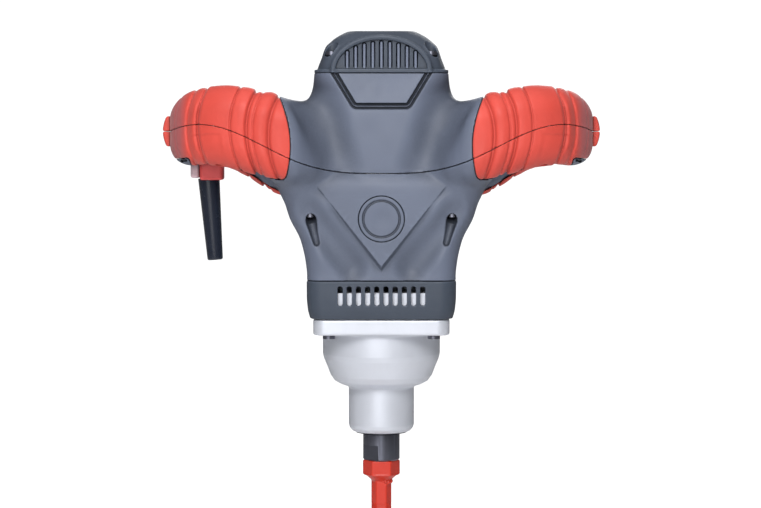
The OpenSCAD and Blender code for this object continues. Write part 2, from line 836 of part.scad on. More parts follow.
// ---- Gear train ----
lay_r = 4;
lay_end_r = 3.4;
wheel_z = 54.5;
wheel_face = 6.5;
wheel_room_r = 20.4;
wheel_room_z = wheel_z - 0.5;
bush_r = 6;
upper_bush_r = 7;
module layshaft() {
    color(bright_steel) on_layshaft() {
        translate([0, 0, 34]) linear_extrude(height = 16)
            gear_outline(layshaft_teeth, stage_2_module, stage_2_shift, 180);
        translate([0, 0, 23.5]) cylinder(r = lay_end_r, h = 10.7);
        translate([0, 0, 49.9]) cylinder(r = lay_r, h = 19);
    }
}
module layshaft_wheel() {
    color(bright_steel) on_layshaft() difference() {
        translate([0, 0, wheel_z]) linear_extrude(height = wheel_face)
            gear_outline(wheel_teeth, stage_1_module, -stage_1_shift, 180 + 180 / wheel_teeth);
        translate([0, 0, 50]) cylinder(r = lay_r + run_gap, h = 20);
    }
}
module layshaft_bushes() {
    color(brass) on_layshaft() {
        translate([0, 0, 23.2]) ring(2 * bush_r, 2 * (lay_end_r + run_gap), 9);
        translate([0, 0, 63.6]) ring(2 * upper_bush_r, 2 * (lay_r + run_gap), 5.6);
    }
}
output_wheel_z = 35;
key_w = 4;
module output_wheel() {
    color(bright_steel) difference() {
        translate([0, 0, output_wheel_z]) linear_extrude(height = 13)
            gear_outline(output_teeth, stage_2_module, -stage_2_shift,
                         layshaft_angle + 180 / output_teeth);
        translate([0, 0, output_wheel_z - 1]) cylinder(r = 7 + run_gap, h = 20);
        translate([4, -key_w / 2 - run_gap, output_wheel_z - 1]) cube([5.2, key_w + 2 * run_gap, 20]);
    }
}
module output_key() {
    color(bright_steel) translate([5.3, -key_w / 2, output_wheel_z + 1]) cube([3.6, key_w, 11]);
}
module circlip() {
    color(dark_steel) translate([0, 0, output_wheel_z + 13.3]) difference() {
        ring(19, 13.2, 1.2);
        translate([4, -2, -1]) cube([8, 4, 4]);
    }
}
flat_turn = 47;
spindle_flats = 20;
stud_r = 7;
module spindle() {
    color(dark_steel) difference() {
        union() {
            translate([0, 0, spindle_end_z]) cylinder(r1 = spindle_r - 0.8, r2 = spindle_r, h = 0.8);
            translate([0, 0, spindle_end_z + 0.8])
                cylinder(r = spindle_r, h = neck_end_z - 0.5 - spindle_end_z - 0.8);
            translate([0, 0, neck_end_z - 0.6]) cylinder(r = 10, h = 6);
            translate([0, 0, -12.7]) cylinder(r = 8.5, h = 33);
            translate([0, 0, 20.2]) cylinder(r = 7, h = 31);
        }
        translate([0, 0, spindle_end_z - 1]) cylinder(r = stud_r, h = 24);
        // Two wrench flats at the open end
        for (a = [0, 180]) rotate(-90 - flat_turn + a)
            translate([spindle_flats / 2, -15, spindle_end_z - 1]) cube([6, 30, 11.6]);
        translate([5.2, -key_w / 2 - run_gap, output_wheel_z + 0.9]) cube([4, key_w + 2 * run_gap, 11.2]);
        translate([0, 0, output_wheel_z + 13.2]) ring(20, 13, 1.4);
    }
}
module shaft_seal() {
    color(black) translate([0, 0, -17.4]) ring(35, 20.2, 5);
}

// ---- Gear case ----
case_screw = 35;
case_shank_r = 2.5;
case_hole_r = 2.6;
case_post_r = 7.5;
case_post_len = 20;
module gear_case() {
    seat_r = spindle_bearing[0] / 2 + run_gap;
    color(cast_alloy) difference() {
        union() {
            // Bowl and neck in one turned profile
            rotate_extrude() polygon([
                [0, neck_end_z], [neck_r - 5, neck_end_z], [neck_r - 1.6, neck_end_z + 1.6],
                [neck_r, neck_end_z + 5], [neck_r, shoulder_z], [27.5, shoulder_z + 1.4],
                [31.8, shoulder_z + 4.4], [34.2, shoulder_z + 8], [36.9, 28.5], [bowl_r, bowl_wide_z],
                [bowl_r, flange_z + 1], [0, flange_z + 1]
            ]);
            translate([0, 0, flange_z]) linear_extrude(height = flange_top_z - flange_z)
                rounded_square(flange_half, 12);
        }
        // Room for the output wheel, then for the layshaft wheel
        translate([0, 0, 33.4]) cylinder(r = 36, h = 40);
        translate([0, 0, 21]) cylinder(r1 = 22, r2 = 24, h = 12.5);
        on_layshaft() translate([0, 0, 22.4]) cylinder(r = bush_r + run_gap, h = 20);
        on_layshaft() translate([0, 0, wheel_room_z]) cylinder(r = wheel_room_r, h = 20);
        // Neck bore for the bearings and the seal
        translate([0, 0, -40]) cylinder(r = seat_r, h = 58.2);
        translate([0, 0, 10]) cylinder(r = 14, h = 14);
        at_corners(case_screw, case_screw) translate([0, 0, flange_z - 1])
            cylinder(r = case_hole_r, h = 20);
    }
    // Boss that carries the lower layshaft bush
    color(cast_alloy) on_layshaft() difference() {
        translate([0, 0, 21]) cylinder(r = 8, h = 11);
        translate([0, 0, 22.8]) cylinder(r = bush_r + run_gap, h = 20);
    }
}
module gasket() {
    color(dark_steel) translate([0, 0, flange_top_z]) linear_extrude(height = gasket_thick) difference() {
        rounded_square(43, 11);
        circle(r = 36.2);
        rotate(layshaft_angle) translate([centre_distance, 0]) circle(r = wheel_room_r + gap);
        at_corners(case_screw, case_screw) circle(r = case_hole_r);
    }
}
plate_rim_z = 80.5;
module gear_plate() {
    color(cast_alloy) difference() {
        union() {
            translate([0, 0, plate_z]) linear_extrude(height = 5) rounded_square(43, 11);
            // Square rim that fills the vent collar up to its slots
            translate([0, 0, plate_z]) linear_extrude(height = plate_rim_z - plate_z) difference() {
                rounded_square(43, 11);
                rounded_square(40, 8);
            }
            translate([0, 0, plate_z]) cylinder(r = 18.5, h = 79.6 - plate_z);
            on_layshaft() translate([0, 0, plate_z]) cylinder(r = 10, h = 8);
        }
        translate([0, 0, lower_bearing_z - gap]) cylinder(d = lower_bearing[0] + gap, h = 20);
        translate([0, 0, 60]) cylinder(r = 8, h = 20);
        on_layshaft() translate([0, 0, 60]) cylinder(r = upper_bush_r + run_gap, h = 9.4);
        at_corners(case_screw, case_screw) translate([0, 0, 60]) cylinder(r = case_hole_r, h = 20);
    }
}
module gear_case_screws() {
    color(dark_steel) at_corners(case_screw, case_screw) translate([0, 0, flange_z])
        upward_screw(4.2, case_shank_r, 50);
}

// ---- Paddle ----
hex_r = 1 / cos(30) / 2;
module paddle_stem() {
    nut_z = spindle_end_z - 0.1;
    color(paint_red) {
        translate([0, 0, nut_z - 0.2]) cylinder(r = stud_r - 0.1, h = 19);
        translate([0, 0, nut_z - 10.3]) cylinder(r = nut_flats * hex_r, h = 10.3, $fn = 6);
        translate([0, 0, nut_z - 14]) cylinder(r1 = rod_flats * 0.52, r2 = nut_flats * 0.49, h = 3.8);
        translate([0, 0, spindle_end_z - paddle_len + 14])
            cylinder(r = rod_flats * hex_r, h = paddle_len - 16 - 10, $fn = 6);
    }
}
basket_z = spindle_end_z - paddle_len;
module paddle_basket() {
    hoop_r = 3.5;
    line_r = basket_d / 2 - hoop_r;
    height = 96;
    // Corners of a strip across its run, the turn that it winds through, and its steps
    strip = [[-1.5, -8], [1.5, -8], [1.5, 8], [-1.5, 8]];
    wind = 100;
    steps = 12;
    color(paint_red) {
        for (z = [basket_z + hoop_r, basket_z + height]) translate([0, 0, z]) {
            rotate_extrude() translate([line_r, 0]) circle(r = hoop_r);
            for (a = [0, 120, 240]) rotate(a) translate([9.4, -2.5, -2]) cube([line_r - 9.4, 5, 4]);
        }
        for (a = [0, 120, 240]) rotate(a) translate([0, 0, basket_z + hoop_r]) loft([
            for (i = [0:steps]) let (turn = wind * i / steps)
                [for (c = strip) [line_r * cos(turn) + c[0] * cos(turn) - c[1] * sin(turn),
                                  line_r * sin(turn) + c[0] * sin(turn) + c[1] * cos(turn),
                                  (height - hoop_r) * i / steps]]
        ]);
        translate([0, 0, basket_z + 1]) ring(21, 14.4, height + 2);
    }
}

top_cap();
top_cap_screws();
upper_housing();
lower_housing();
service_cover(-1);  // front_service_cover
service_cover(1);  // rear_service_cover
badge();
grip(1, true);  // left_grip_upper
grip(1, false);  // left_grip_lower
grip(0, true);  // right_grip_upper
grip(0, false);  // right_grip_lower
bumpers(1);  // left_bumpers
bumpers(0);  // right_bumpers
housing_screws();
vent_collar();
cord_clamp();
cord_sleeve();
power_cord();
trigger();
trigger_pin();
lock_button();
speed_dial();
switch_body();
control_module();
stator_core();
field_coils();
armature_shaft();
armature_core();
armature_windings();
commutator();
cooling_fan();
fan_baffle();
brush_holders();
carbon_brushes();
brush_springs();
bearing_bridge();
upper_bearing_outer();
upper_bearing_inner();
lower_bearing_outer();
lower_bearing_inner();
gear_plate();
gear_case();
gear_case_screws();
gasket();
layshaft();
layshaft_wheel();
layshaft_bushes();
output_wheel();
output_key();
circlip();
spindle();
spindle_bearings_outer();
spindle_bearings_inner();
shaft_seal();
paddle_stem();
paddle_basket();
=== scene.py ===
"""Looks for a two-handed paint and mortar mixer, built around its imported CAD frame.

Shapes are worked out in millimetres in the CAD's own frame and turned into metres as each
mesh is made. Moulded and cast pieces are distance fields (negative inside) that polygonise()
turns into a mesh; turned, bent and welded pieces are made directly.
"""

import math

import bmesh
import bpy
import numpy as np
from mathutils import Matrix, Vector
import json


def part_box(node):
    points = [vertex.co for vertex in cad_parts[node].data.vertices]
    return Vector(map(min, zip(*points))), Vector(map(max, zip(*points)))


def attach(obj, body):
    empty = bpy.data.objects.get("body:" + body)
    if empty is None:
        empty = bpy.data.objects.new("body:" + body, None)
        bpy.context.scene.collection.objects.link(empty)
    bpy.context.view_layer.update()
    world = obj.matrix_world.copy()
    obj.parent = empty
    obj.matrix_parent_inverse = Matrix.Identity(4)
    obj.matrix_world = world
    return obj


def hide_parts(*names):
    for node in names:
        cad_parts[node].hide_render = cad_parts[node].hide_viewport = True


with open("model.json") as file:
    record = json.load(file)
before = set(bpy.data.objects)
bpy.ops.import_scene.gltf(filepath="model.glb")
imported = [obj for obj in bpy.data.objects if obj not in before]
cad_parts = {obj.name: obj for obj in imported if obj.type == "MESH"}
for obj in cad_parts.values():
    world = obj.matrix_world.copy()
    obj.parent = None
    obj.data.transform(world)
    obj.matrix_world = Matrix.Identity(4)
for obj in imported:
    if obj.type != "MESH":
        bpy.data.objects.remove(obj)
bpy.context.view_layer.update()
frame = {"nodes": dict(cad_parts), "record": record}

MM = 0.001
FIXED = "housing"
PADDLE = "spindle"


def node_box(node):
    """Lowest and highest corner of a CAD node, in millimetres."""
    low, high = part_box(node)
    return np.array(low) / MM, np.array(high) / MM


# ---------------------------------------------------------------- sizes, in millimetres
upper_low, upper_high = node_box("upper_housing")
lower_low, lower_high = node_box("lower_housing")
cap_low, cap_high = node_box("top_cap")
collar_low, collar_high = node_box("vent_collar")
case_low, case_high = node_box("gear_case")
bumper_low, bumper_high = node_box("right_bumpers")
dial_low, dial_high = node_box("speed_dial")
trigger_low, trigger_high = node_box("trigger")
clamp_low, clamp_high = node_box("cord_clamp")
sleeve_low, sleeve_high = node_box("cord_sleeve")
badge_low, badge_high = node_box("badge")
stem_low, stem_high = node_box("paddle_stem")
basket_low, basket_high = node_box("paddle_basket")
spindle_low, spindle_high = node_box("spindle")

WALL = 3.0
GRIP = 3.0
SEAM = 0.12
SHELL_STEP = 0.8
FINE_STEP = 0.6

CAP_SEAM = cap_low[2]
COLLAR_SEAM = collar_high[2]
DECK = CAP_SEAM - 12


# ---------------------------------------------------------------- distance fields
def soft_union(a, b, k):
    h = np.maximum(k - np.abs(a - b), 0) / k
    return np.minimum(a, b) - h * h * k / 4


def soft_meet(a, b, k):
    return -soft_union(-a, -b, k)


def soft_cut(a, b, k):
    return soft_meet(a, -b, k)


def rounded_box(u, v, half_u, half_v, r):
    """Distance to a rounded rectangle centred on the origin."""
    a = np.abs(u) - half_u + r
    b = np.abs(v) - half_v + r
    return np.hypot(np.maximum(a, 0), np.maximum(b, 0)) + np.minimum(np.maximum(a, b), 0) - r


def slab(v, low, high):
    return np.maximum(low - v, v - high)


def polygon_field(u, v, points):
    """Distance to a closed outline in the plane."""
    best = np.full(u.shape, 1e9)
    inside = np.zeros(u.shape, bool)
    for (u0, v0), (u1, v1) in zip(points, points[1:] + points[:1]):
        du, dv = u1 - u0, v1 - v0
        t = np.clip(((u - u0) * du + (v - v0) * dv) / (du * du + dv * dv), 0, 1)
        best = np.minimum(best, (u - u0 - t * du) ** 2 + (v - v0 - t * dv) ** 2)
        if dv:
            inside ^= ((v0 > v) != (v1 > v)) & (u < du * (v - v0) / dv + u0)
    return np.where(inside, -1.0, 1.0) * np.sqrt(best)


def tapered_capsule(p, a, b, ra, rb):
    a, b = np.array(a, float), np.array(b, float)
    d = b - a
    t = np.clip(((p - a) @ d) / (d @ d), 0, 1)
    return np.linalg.norm(p - a - t[:, None] * d, axis=1) - ra - (rb - ra) * t


def smooth_step(v, low, high):
    t = np.clip((v - low) / (high - low), 0, 1)
    return t * t * (3 - 2 * t)


def curve(points, blur=4.0):
    """A smooth function through (input, output) points, rounded over about blur units."""
    x = np.array([q[0] for q in points], float)
    y = np.array([q[1] for q in points], float)
    fine = np.arange(x[0] - 6 * blur, x[-1] + 6 * blur, blur / 8)
    spread = np.exp(-0.5 * (np.arange(-24, 25) / 8.0) ** 2)
    soft = np.convolve(np.pad(np.interp(fine, x, y), 24, mode="edge"), spread / spread.sum(), "valid")
    return lambda v: np.interp(v, fine, soft)


def thin_line(v, centre, width):
    """1 on a line and 0 beyond width to either side, with soft flanks."""
    return np.exp(-((v - centre) / width) ** 2)


# ---------------------------------------------------------------- meshing
BLOCK = 8
CORNERS = np.array([[i, j, k] for i in (0, 1) for j in (0, 1) for k in (0, 1)])
EDGES = [(a, b) for a in range(8) for b in range(a + 1, 8) if np.abs(CORNERS[a] - CORNERS[b]).sum() == 1]


def sample_blocks(field, low, size, step):
    """Field values on a grid, worked out only in the blocks that the surface may cross."""
    blocks = -(-size // BLOCK)
    values = np.empty(tuple(blocks * BLOCK), np.float32)
    index = np.stack(np.meshgrid(*[np.arange(n) for n in blocks], indexing="ij"), -1).reshape(-1, 3)
    middle = low + (index * BLOCK + (BLOCK - 1) / 2) * step
    rough = field(middle)
    view = values.reshape(blocks[0], BLOCK, blocks[1], BLOCK, blocks[2], BLOCK).transpose(0, 2, 4, 1, 3, 5)
    view[index[:, 0], index[:, 1], index[:, 2]] = np.sign(rough)[:, None, None, None]
    near = index[np.abs(rough) < BLOCK * step * 1.15 + 2.5]
    cell = np.stack(np.meshgrid(*[np.arange(BLOCK)] * 3, indexing="ij"), -1).reshape(-1, 3)
    for start in range(0, len(near), 400):
        part = near[start:start + 400]
        points = low + (part[:, None] * BLOCK + cell[None]) * step
        found = field(points.reshape(-1, 3)).reshape(len(part), BLOCK, BLOCK, BLOCK)
        view[part[:, 0], part[:, 1], part[:, 2]] = found
    return values


def gradient(field, points, h=0.05):
    slope = np.empty_like(points)
    for axis in range(3):
        shift = np.zeros(3)
        shift[axis] = h
        slope[:, axis] = field(points + shift) - field(points - shift)
    return slope / np.maximum(np.linalg.norm(slope, axis=1), 1e-9)[:, None]


def settle(field, points, reach, rounds=3):
    """Moves points onto the surface, at most reach from where they start."""
    start = points.copy()
    for _ in range(rounds):
        points = points - gradient(field, points) * np.clip(field(points), -reach, reach)[:, None]
        moved = points - start
        length = np.linalg.norm(moved, axis=1)
        points = start + moved * np.minimum(1, reach / np.maximum(length, 1e-9))[:, None]
    return points


def polygonise(field, low, high, step):
    """Surface nets: one vertex in each cell that the surface crosses, one quad for each crossed edge."""
    low = np.array(low, float) - 2.37 * step
    size = np.ceil((np.array(high, float) + 2.4 * step - low) / step).astype(int) + 1
    values = sample_blocks(field, low, size, step)
    inside = values < 0
    cells = np.array(values.shape) - 1
    count = np.zeros(cells, np.int8)
    for c in CORNERS:
        count += inside[c[0]:c[0] + cells[0], c[1]:c[1] + cells[1], c[2]:c[2] + cells[2]]
    where = np.argwhere((count > 0) & (count < 8))
    number = np.full(cells, -1, np.int64)
    number[where[:, 0], where[:, 1], where[:, 2]] = np.arange(len(where))
    at = np.stack([values[tuple((where + c).T)] for c in CORNERS], 1)
    total = np.zeros((len(where), 3))
    crossed = np.zeros(len(where))
    for a, b in EDGES:
        cut = (at[:, a] < 0) != (at[:, b] < 0)
        t = np.clip(at[:, a] / np.where(cut, at[:, a] - at[:, b], 1), 0, 1)
        total += np.where(cut[:, None], CORNERS[a] + t[:, None] * (CORNERS[b] - CORNERS[a]), 0)
        crossed += cut
    points = low + (where + total / crossed[:, None]) * step
    quads = []
    for axis in range(3):
        u, v = (axis + 1) % 3, (axis + 2) % 3
        first = [slice(0, n) for n in cells]
        second = list(first)
        second[axis] = slice(1, cells[axis] + 1)
        for side in (u, v):
            first[side] = second[side] = slice(1, cells[side])
        first[axis] = slice(0, cells[axis])
        a, b = inside[tuple(first)], inside[tuple(second)]
        for flip in (False, True):
            found = np.argwhere((a & ~b) if not flip else (~a & b))
            found[:, u] += 1
            found[:, v] += 1
            ring = []
            for du, dv in ((1, 1), (0, 1), (0, 0), (1, 0)):
                q = found.copy()
                q[:, u] -= du
                q[:, v] -= dv
                ring.append(number[tuple(q.T)])
            ring = np.stack(ring, 1)
            quads.append(ring[:, ::-1] if flip else ring)
    return settle(field, points, 0.6 * step), np.concatenate(quads)


def new_piece(name, vertices, faces, material, body, stands_for=(), smooth=True):
    """A mesh object from millimetre vertices, riding on a body."""
    mesh = bpy.data.meshes.new(name)
    mesh.from_pydata((np.asarray(vertices) * MM).tolist(), [], [list(f) for f in faces])
    mesh.validate()
    piece = bpy.data.objects.new(name, mesh)
    bpy.context.scene.collection.objects.link(piece)
    mesh.materials.append(material)
    mesh.polygons.foreach_set("use_smooth", [smooth] * len(mesh.polygons))
    if stands_for:
        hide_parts(*stands_for)
    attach(piece, body)
    return piece


def apply_modifiers(piece):
    graph = bpy.context.evaluated_depsgraph_get()
    made = bpy.data.meshes.new_from_object(piece.evaluated_get(graph))
    piece.modifiers.clear()
    piece.data = made


def read_vertices(mesh):
    co = np.empty(len(mesh.vertices) * 3, np.float32)
    mesh.vertices.foreach_get("co", co)
    return co.reshape(-1, 3).astype(float)


def moulded(name, field, low, high, step, material, body, stands_for=(), most_faces=180000):
    """A piece from a distance field, thinned to most_faces triangles, with the field's own normals."""
    points, quads = polygonise(field, low, high, step)
    piece = new_piece(name, points, quads, material, body, stands_for)
    if len(quads) * 2 > most_faces:
        thin = piece.modifiers.new("thin", "DECIMATE")
        thin.ratio = most_faces / (len(quads) * 2)
        apply_modifiers(piece)
        points = settle(field, read_vertices(piece.data) / MM, 0.2 * step, 2)
        piece.data.vertices.foreach_set("co", (points * MM).astype(np.float32).ravel())
    mesh = piece.data
    mesh.polygons.foreach_set("use_smooth", [True] * len(mesh.polygons))
    normals = gradient(field, read_vertices(mesh) / MM, 0.25)
    mesh.normals_split_custom_set_from_vertices(normals.tolist())
    mesh.update()
    print(name, len(mesh.polygons), "faces")
    return piece


def lathe(profile, steps=96):
    """Vertices and faces of a closed turned shape from (radius, height) points, lowest first."""
    vertices, faces = [], []
    for r, z in profile:
        for i in range(steps):
            a = 2 * math.pi * i / steps
            vertices.append((r * math.cos(a), r * math.sin(a), z))
    for k in range(len(profile) - 1):
        for i in range(steps):
            j = (i + 1) % steps
            faces.append((k * steps + i, k * steps + j, (k + 1) * steps + j, (k + 1) * steps + i))
    faces.append(tuple(range(steps - 1, -1, -1)))
    top = (len(profile) - 1) * steps
    faces.append(tuple(range(top, top + steps)))
    return np.array(vertices), faces


def swept(path, outline, closed=False):
    """Sweeps a plane outline [(side, up)] along a path with frames (point, side, up)."""
    vertices, faces = [], []
    n = len(outline)
    for point, side, up in path:
        for s, t in outline:
            vertices.append(point + s * side + t * up)
    last = len(path) if closed else len(path) - 1
    for k in range(last):
        m = (k + 1) % len(path)
        for i in range(n):
            j = (i + 1) % n
            faces.append((k * n + i, k * n + j, m * n + j, m * n + i))
    if not closed:
        faces.append(tuple(range(n - 1, -1, -1)))
        faces.append(tuple((len(path) - 1) * n + i for i in range(n)))
    return np.array(vertices), faces


def joined(*meshes):
    vertices, faces, base = [], [], 0
    for v, f in meshes:
        vertices.append(np.asarray(v))
        faces += [tuple(base + i for i in face) for face in f]
        base += len(v)
    return np.concatenate(vertices), faces


def bevelled(piece, width, segments=2, angle=35):
    soft = piece.modifiers.new("edges", "BEVEL")
    soft.width = width * MM
    soft.segments = segments
    soft.limit_method = "ANGLE"
    soft.angle_limit = math.radians(angle)
    soft.harden_normals = True
    return piece


# ---------------------------------------------------------------- materials
def material_nodes(name):
    material = bpy.data.materials.new(name)
    material.use_nodes = True
    tree = material.node_tree
    shader = tree.nodes["Principled BSDF"]
    place = tree.nodes.new("ShaderNodeTexCoord").outputs["Object"]
    return material, tree, shader, place


def noise(tree, place, size_mm, detail=3.0, roughness=0.55, stretch=(1, 1, 1)):
    """Noise whose features are about size_mm across."""
    mapping = tree.nodes.new("ShaderNodeMapping")
    mapping.inputs["Scale"].default_value = stretch
    tree.links.new(place, mapping.inputs["Vector"])
    node = tree.nodes.new("ShaderNodeTexNoise")
    node.inputs["Scale"].default_value = 1 / (size_mm * MM)
    node.inputs["Detail"].default_value = detail
    node.inputs["Roughness"].default_value = roughness
    tree.links.new(mapping.outputs["Vector"], node.inputs["Vector"])
    return node.outputs["Fac"]


def ramp(tree, value, low, high, from_low=0.3, from_high=0.7):
    node = tree.nodes.new("ShaderNodeMapRange")
    node.inputs["From Min"].default_value = from_low
    node.inputs["From Max"].default_value = from_high
    node.inputs["To Min"].default_value = low
    node.inputs["To Max"].default_value = high
    tree.links.new(value, node.inputs["Value"])
    return node.outputs["Result"]


def mixed(tree, amount, first, second):
    node = tree.nodes.new("ShaderNodeMix")
    node.data_type = "RGBA"
    node.inputs["A"].default_value = (*first, 1) if not hasattr(first, "node") else (0, 0, 0, 1)
    node.inputs["B"].default_value = (*second, 1)
    if hasattr(first, "node"):
        tree.links.new(first, node.inputs["A"])
    tree.links.new(amount, node.inputs["Factor"])
    return node.outputs["Result"]


def bump(tree, shader, height, distance_mm, strength=1.0, under=None):
    node = tree.nodes.new("ShaderNodeBump")
    node.inputs["Distance"].default_value = distance_mm * MM
    node.inputs["Strength"].default_value = strength
    tree.links.new(height, node.inputs["Height"])
    if under is not None:
        tree.links.new(under, node.inputs["Normal"])
    tree.links.new(node.outputs["Normal"], shader.inputs["Normal"])
    return node.outputs["Normal"]


def edge_wear_and_highlight(tree, low=0.52, high=0.6):
    """1 on convex edges, from the mesh's own pointiness."""
    # Paler edges from this are a painted highlight on the plastics, and wear on the metals and paint.
    geometry = tree.nodes.new("ShaderNodeNewGeometry")
    return ramp(tree, geometry.outputs["Pointiness"], 0.0, 1.0, low, high)


def painted_hollow_shade(tree, colour, depth_mm=5.0, darkest=0.35, closed=0.35, open_at=0.9):
    """Painted shade in hollows: multiplies the colour by how open the surface is."""
    open_sky = tree.nodes.new("ShaderNodeAmbientOcclusion")
    open_sky.samples = 8
    open_sky.inputs["Distance"].default_value = depth_mm * MM
    node = tree.nodes.new("ShaderNodeMix")
    node.data_type = "RGBA"
    node.blend_type = "MULTIPLY"
    node.inputs["Factor"].default_value = 1.0
    tree.links.new(colour, node.inputs["A"])
    grey = tree.nodes.new("ShaderNodeCombineColor")
    value = ramp(tree, open_sky.outputs["AO"], darkest, 1.0, closed, open_at)
    for channel in ("Red", "Green", "Blue"):
        tree.links.new(value, grey.inputs[channel])
    tree.links.new(grey.outputs["Color"], node.inputs["B"])
    return node.outputs["Result"]


def shade(colour, factor):
    return tuple(min(1.0, c * factor) for c in colour)


def plastic(name, colour, grain_mm=0.45, rough=(0.42, 0.56), grain=0.05, hollows=False, edge=1.4):
    """Moulded plastic: a fine spark-eroded grain, slow colour drift, edges paled as a painted highlight, and painted
    shade in hollows.
    """
    material, tree, shader, place = material_nodes(name)
    drift = ramp(tree, noise(tree, place, 45, 2), 0, 1)
    base = mixed(tree, drift, shade(colour, 0.93), shade(colour, 1.07))
    # Paler convex edges: a painted highlight, strongest on the cap.
    wear_and_painted_light = mixed(tree, edge_wear_and_highlight(tree), base, shade(colour, edge))
    # hollows adds a wide painted shade over the housing's valleys and pockets.
    if hollows:
        wear_and_painted_light = painted_hollow_shade(tree, wear_and_painted_light, 24.0, 0.22, 0.78, 0.99)
    # Painted shade in small hollows and grooves.
    wear_and_painted_light = painted_hollow_shade(tree, wear_and_painted_light, darkest=0.75 if hollows else 0.35)
    tree.links.new(wear_and_painted_light, shader.inputs["Base Color"])
    tree.links.new(ramp(tree, noise(tree, place, 12, 4), *rough), shader.inputs["Roughness"])
    shader.inputs["Specular IOR Level"].default_value = 0.3
    bump(tree, shader, noise(tree, place, grain_mm, 2, 0.6), grain)
    return material


def outer_end_tint(tree, place):
    """0 over the palm of a grip, rising past the bead to the handle's outer end."""
    split = tree.nodes.new("ShaderNodeSeparateXYZ")
    tree.links.new(place, split.inputs["Vector"])
    away = tree.nodes.new("ShaderNodeMath")
    away.operation = "ABSOLUTE"
    tree.links.new(split.outputs["X"], away.inputs[0])
    return ramp(tree, away.outputs["Value"], 0.0, 0.75, (GRIP_OUT - 1) * MM, (GRIP_OUT + 4) * MM)


def rubber(name, colour, grain_mm=0.6, rough=(0.5, 0.66), grain=0.06, outer_end_colour=None):
    """Soft overmoulded rubber: a matt skin with a fine grain and slightly dusty patches."""
    material, tree, shader, place = material_nodes(name)
    dust = ramp(tree, noise(tree, place, 30, 4), 0, 1, 0.35, 0.75)
    base = mixed(tree, dust, shade(colour, 0.95), shade(colour, 1.08))
    wear_and_painted_light = mixed(tree, edge_wear_and_highlight(tree, 0.53, 0.62), base, shade(colour, 1.18))
    # A rosy grey tint towards each handle's outer end.
    if outer_end_colour:
        wear_and_painted_light = mixed(tree, outer_end_tint(tree, place), wear_and_painted_light, outer_end_colour)
    # Painted shade in grooves and hollows darkens the rubber's colour.
    tree.links.new(painted_hollow_shade(tree, wear_and_painted_light), shader.inputs["Base Color"])
    tree.links.new(ramp(tree, noise(tree, place, 9, 3), *rough), shader.inputs["Roughness"])
    shader.inputs["Specular IOR Level"].default_value = 0.38
    shader.inputs["Sheen Weight"].default_value = 0.12
    shader.inputs["Sheen Roughness"].default_value = 0.4
    bump(tree, shader, noise(tree, place, grain_mm, 2, 0.6), grain)
    return material


def cast_metal(name, colour, rough=(0.30, 0.42)):
    """Blasted die casting: fine pitted skin, faint flow marks, polished edges."""
    material, tree, shader, place = material_nodes(name)
    shader.inputs["Metallic"].default_value = 0.35
    flow = ramp(tree, noise(tree, place, 25, 5, stretch=(1, 1, 0.4)), 0, 1)
    base = mixed(tree, flow, shade(colour, 0.94), shade(colour, 1.03))
    wear_and_painted_light = mixed(tree, edge_wear_and_highlight(tree, 0.52, 0.58), base, shade(colour, 1.15))
    tree.links.new(wear_and_painted_light, shader.inputs["Base Color"])
    tree.links.new(ramp(tree, noise(tree, place, 3, 4), *rough), shader.inputs["Roughness"])
    bump(tree, shader, noise(tree, place, 0.5, 3, 0.7), 0.05)
    return material


def steel(name, colour, rough=(0.25, 0.4), ring_mm=0.35):
    """Turned or ground steel, with fine rings round the spindle axis and stains."""
    material, tree, shader, place = material_nodes(name)
    shader.inputs["Metallic"].default_value = 1.0
    stain = ramp(tree, noise(tree, place, 8, 5), 0, 1)
    base = mixed(tree, stain, shade(colour, 0.8), shade(colour, 1.15))
    wear_and_painted_light = mixed(tree, edge_wear_and_highlight(tree, 0.52, 0.6), base, shade(colour, 2.2))
    tree.links.new(wear_and_painted_light, shader.inputs["Base Color"])
    rings = noise(tree, place, ring_mm, 2, 0.5, stretch=(0.08, 0.08, 1))
    tree.links.new(ramp(tree, rings, *rough), shader.inputs["Roughness"])
    bump(tree, shader, rings, 0.02)
    return material


def paint(name, colour):
    """Powder coat: an orange-peel surface with small chips down to primer at the edges."""
    material, tree, shader, place = material_nodes(name)
    drift = ramp(tree, noise(tree, place, 35, 2), 0, 1)
    base = mixed(tree, drift, shade(colour, 0.97), shade(colour, 1.03))
    wear_and_painted_light = mixed(tree, edge_wear_and_highlight(tree, 0.66, 0.9), base, shade(colour, 1.1))
    tree.links.new(wear_and_painted_light, shader.inputs["Base Color"])
    tree.links.new(ramp(tree, noise(tree, place, 6, 3), 0.34, 0.4), shader.inputs["Roughness"])
    shader.inputs["Coat Weight"].default_value = 0.08
    shader.inputs["Coat Roughness"].default_value = 0.25
    bump(tree, shader, noise(tree, place, 1.6, 1.5, 0.4), 0.008)
    return material


GRIP_OUT = 129.5
SHELL_GREY = (0.128, 0.149, 0.206)
CAP_GREY = (0.054, 0.067, 0.092)
GRIP_RED = (0.66, 0.070, 0.050)
# The shell's colour carries a wide painted shade in its valleys, pockets and other hollows.
shell_plastic = plastic("shell_plastic", SHELL_GREY, hollows=True)
